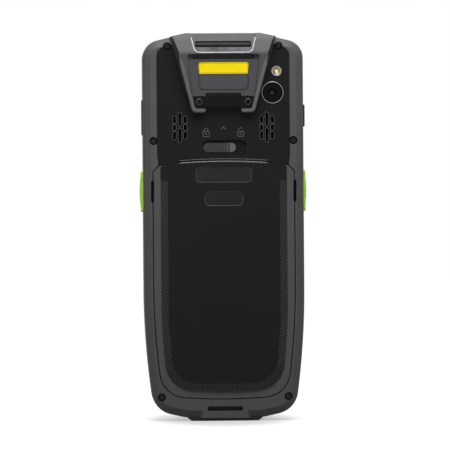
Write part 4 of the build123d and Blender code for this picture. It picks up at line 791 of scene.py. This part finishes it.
def legend(key, character, size):
    """A numeral or sign on the middle of a key's face."""
    fill_depth, proud = 0.00002, 0.00001
    low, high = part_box(key)
    bpy.ops.object.select_all(action="DESELECT")
    bpy.ops.object.text_add(location=(0, 0, 0))
    text = bpy.context.object
    text.name = key + "_legend"
    text.data.body = character
    text.data.size = size / 1000
    text.data.extrude = fill_depth
    text.data.resolution_u = 4
    text.data.align_x, text.data.align_y = "CENTER", "CENTER"
    bpy.ops.object.convert(target="MESH")
    text = bpy.context.object
    text.rotation_euler = facing_front
    text.location = ((low.x + high.x) / 2, low.y - proud, (low.z + high.z) / 2)
    settle(text, key + "_cap", legend_white)


digit_size, star_size, hash_size = 4.4, 5.4, 4.0
for digit in "0123456789":
    legend(f"key_{digit}", digit, digit_size)
legend("key_star", "*", star_size)
legend("key_hash", "#", hash_size)


def key_sign(key, name, runs, slot="keycap_grey"):
    """A line sign on the middle of a key's face."""
    stroke = 0.34
    low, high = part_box(key)
    line(name, runs, stroke, ((low.x + high.x) / 2, low.y, (low.z + high.z) / 2), slot, legend_white,
         turn=facing_front, body=key + "_cap")


key_sign("back_key", "back_arrow", [([(0.9, -1.2), (-1.1, 0), (0.9, 1.2)], True)])
key_sign("menu_key", "menu_lines", [([(-1.5, h), (1.5, h)], False) for h in (-1.0, 0.0, 1.0)])
bars = [([(x, -1.3), (x, 1.3)], False) for x in (-2.2, -1.5, -1.0, 0.0, 0.9, 1.4, 2.2)]
corners = [([(sx * 3.6, sz * 1.2), (sx * 3.6, sz * 2.2), (sx * 2.6, sz * 2.2)], False)
           for sx in (-1, 1) for sz in (-1, 1)]
key_sign("scan_key", "scan_sign", bars + corners, "accent_green")

# ---------------------------------------------------------------- earpiece and status light
# A punched stainless screen covers the earpiece slot; the light pipe beside it is clear PC.

# The holes are 0.25 mm; they are drawn 0.6 mm apart so that they show.
holes_per_metre = 1667.0
punched = finish_of("punched_stainless", Metallic=1.0)
punched_place = (put(punched, "TexCoord"), "Object")
punched_map = put(punched, "Mapping", {"Vector": punched_place,
                                       "Scale": (holes_per_metre, 0.0, holes_per_metre)})
holes = put(punched, "TexVoronoi", {"Vector": punched_map, "Scale": 1.0, "Randomness": 0.0})
holes = put(punched, "MapRange", {"Value": holes, "From Min": 0.22, "From Max": 0.3})
punched_tint = put(punched, "Mix", {0: holes, 6: linear("#0a0a0a"), 7: linear("#8a8a8c")},
                   data_type="RGBA")
punched_rough = put(punched, "MapRange", {"Value": holes, "To Min": 0.8, "To Max": 0.3})
feed(punched, Base_Color=(punched_tint, 2), Roughness=punched_rough)
dress(punched, "earpiece_mesh")
dress(moulded("clear_pc_light_pipe", "#b9c2b8", 0.2, 0.6, 0.003), "status_light")

# ---------------------------------------------------------------- battery
# Lithium pack in black shrink film, lifted out when the cover is open. Its contact block and the
# dock's contacts are gold-flashed copper.

dress(moulded("shrink_film_wrap", "#17181a", 0.35, 1.6, 0.02), "battery_pack")
gold = mottled("gold_flashed_copper", "#c99a3c", "#e2bc62", 1200.0, 3.0, rough=(0.2, 0.4), Metallic=1.0)
dress(gold, "battery_contacts", "dock_contacts")

# ---------------------------------------------------------------- inside
# Die-cast mid frame, FR4 boards under tinned shield cans, the scan engine in its dark case, the
# vibration motor, and the seals: silicone cord and mat.

cast = mottled("die_cast_magnesium", "#77777a", "#9a9a9e", 1500.0, 4.0, rough=(0.4, 0.6),
               bump=0.00002, Metallic=1.0)
dress(cast, "mid_frame", "shield_cans", "vibration_motor")
dress(moulded("solder_mask_fr4", "#14401f", 0.35, 0.8, 0.006), "main_board", "keypad_board")
dress(moulded("engine_case_pc", "#141415", 0.5, 0.4, 0.01), "scan_engine")
dress(moulded("silicone_seal", "#101011", 0.7, 0.5, 0.01), "cover_seal", "housing_gasket",
      "keypad_mat")

# ---------------------------------------------------------------- foot
# Black rubber pad on the underside with the dock's seven contacts, round the strap slot's way out.

dress(moulded("moulded_rubber", "#141414", 0.75, 0.6, 0.02), "foot_pad")

# ---------------------------------------------------------------- studio
# White sweep under a soft lamp overhead. Two lamps further off light the terminal more faintly,
# one from the camera's side and one from behind.


def shown(owner):
    """1 for rays that are seen directly, in a mirror or through glass, and 0 for diffuse light."""
    paths = put(owner, "LightPath")
    seen = put(owner, "Math", {0: (paths, "Is Camera Ray"), 1: (paths, "Is Glossy Ray")},
               operation="MAXIMUM")
    return put(owner, "Math", {0: seen, 1: (paths, "Is Transmission Ray")}, operation="MAXIMUM")


# The sweep glows white where it is seen, and less in an oval round the foot: a painted shadow, with the
# real contact shadow showing through it.
floor = start("floor", bpy.ops.mesh.primitive_plane_add, size=8.0, location=(0, 0, 0))
sweep = mottled("white_sweep", "#828282", "#868686", 3.0, 1.0, Roughness=0.9, Specular_IOR_Level=0.0)
sweep_place = (put(sweep, "TexCoord"), "Object")
sweep_map = put(sweep, "Mapping", {"Vector": sweep_place, "Scale": (1.3, 0.8, 1.0)})
sweep_far = put(sweep, "VectorMath", {0: sweep_map}, operation="LENGTH")
glow_with_painted_shadow = put(sweep, "MapRange", {"Value": (sweep_far, 1), "From Min": 0.02, "From Max": 0.065,
                               "To Min": 0.45, "To Max": 1.0}, interpolation_type="SMOOTHSTEP")
glow_with_painted_shadow = put(sweep, "Math", {0: glow_with_painted_shadow, 1: shown(sweep)}, operation="MULTIPLY")
white = put(sweep, "Emission", {"Color": (1, 1, 1, 1), "Strength": glow_with_painted_shadow})
blend = put(sweep, "AddShader", {0: sweep.node_tree.nodes["Principled BSDF"], 1: white})
plug(sweep, sweep.node_tree.nodes["Material Output"], {0: blend})
floor.data.materials.append(sweep)

world = bpy.data.worlds.new("studio")
bpy.context.scene.world = world
world.use_nodes = True
strength = put(world, "MapRange", {"Value": shown(world), "To Min": 0.18, "To Max": 1.0})
plug(world, world.node_tree.nodes["Background"], {"Color": (1, 1, 1, 1), "Strength": strength})


def soft_lamp(name, at, aim, size, power):
    """A square area lamp turned to face a point."""
    light = bpy.data.lights.new(name, "AREA")
    light.energy = power
    light.size = size
    lamp = bpy.data.objects.new(name, light)
    bpy.context.scene.collection.objects.link(lamp)
    lamp.location = at
    lamp.rotation_euler = (Vector(aim) - Vector(at)).to_track_quat("-Z", "Y").to_euler()


soft_lamp("overhead", (0, 0.2, 0.45), (0, 0.01, 0.14), 0.26, 2.6)
soft_lamp("camera_side", (0.15, 0.7, 0.16), (0, 0, 0.02), 0.3, 0.35)
soft_lamp("far_side", (-0.3, -0.9, 0.9), (0, 0, 0.09), 0.5, 5.0)

scene = bpy.context.scene
scene.view_settings.view_transform = "Standard"
lens = bpy.data.cameras.new("camera")
lens.sensor_width = 36.0
lens.lens = 264.6
camera = bpy.data.objects.new("camera", lens)
scene.collection.objects.link(camera)
target = Vector((-0.0004, 0.010, 0.0889))
camera_side, camera_roll, camera_away = radians(2.6), radians(-0.42), 1.5
away = Vector((sin(camera_side), cos(camera_side), 0)) * camera_away
camera.location = target + away
camera.rotation_euler = ((-away).to_track_quat("-Z", "Y").to_matrix()
                         @ Matrix.Rotation(camera_roll, 3, "Z")).to_euler()
scene.camera = camera
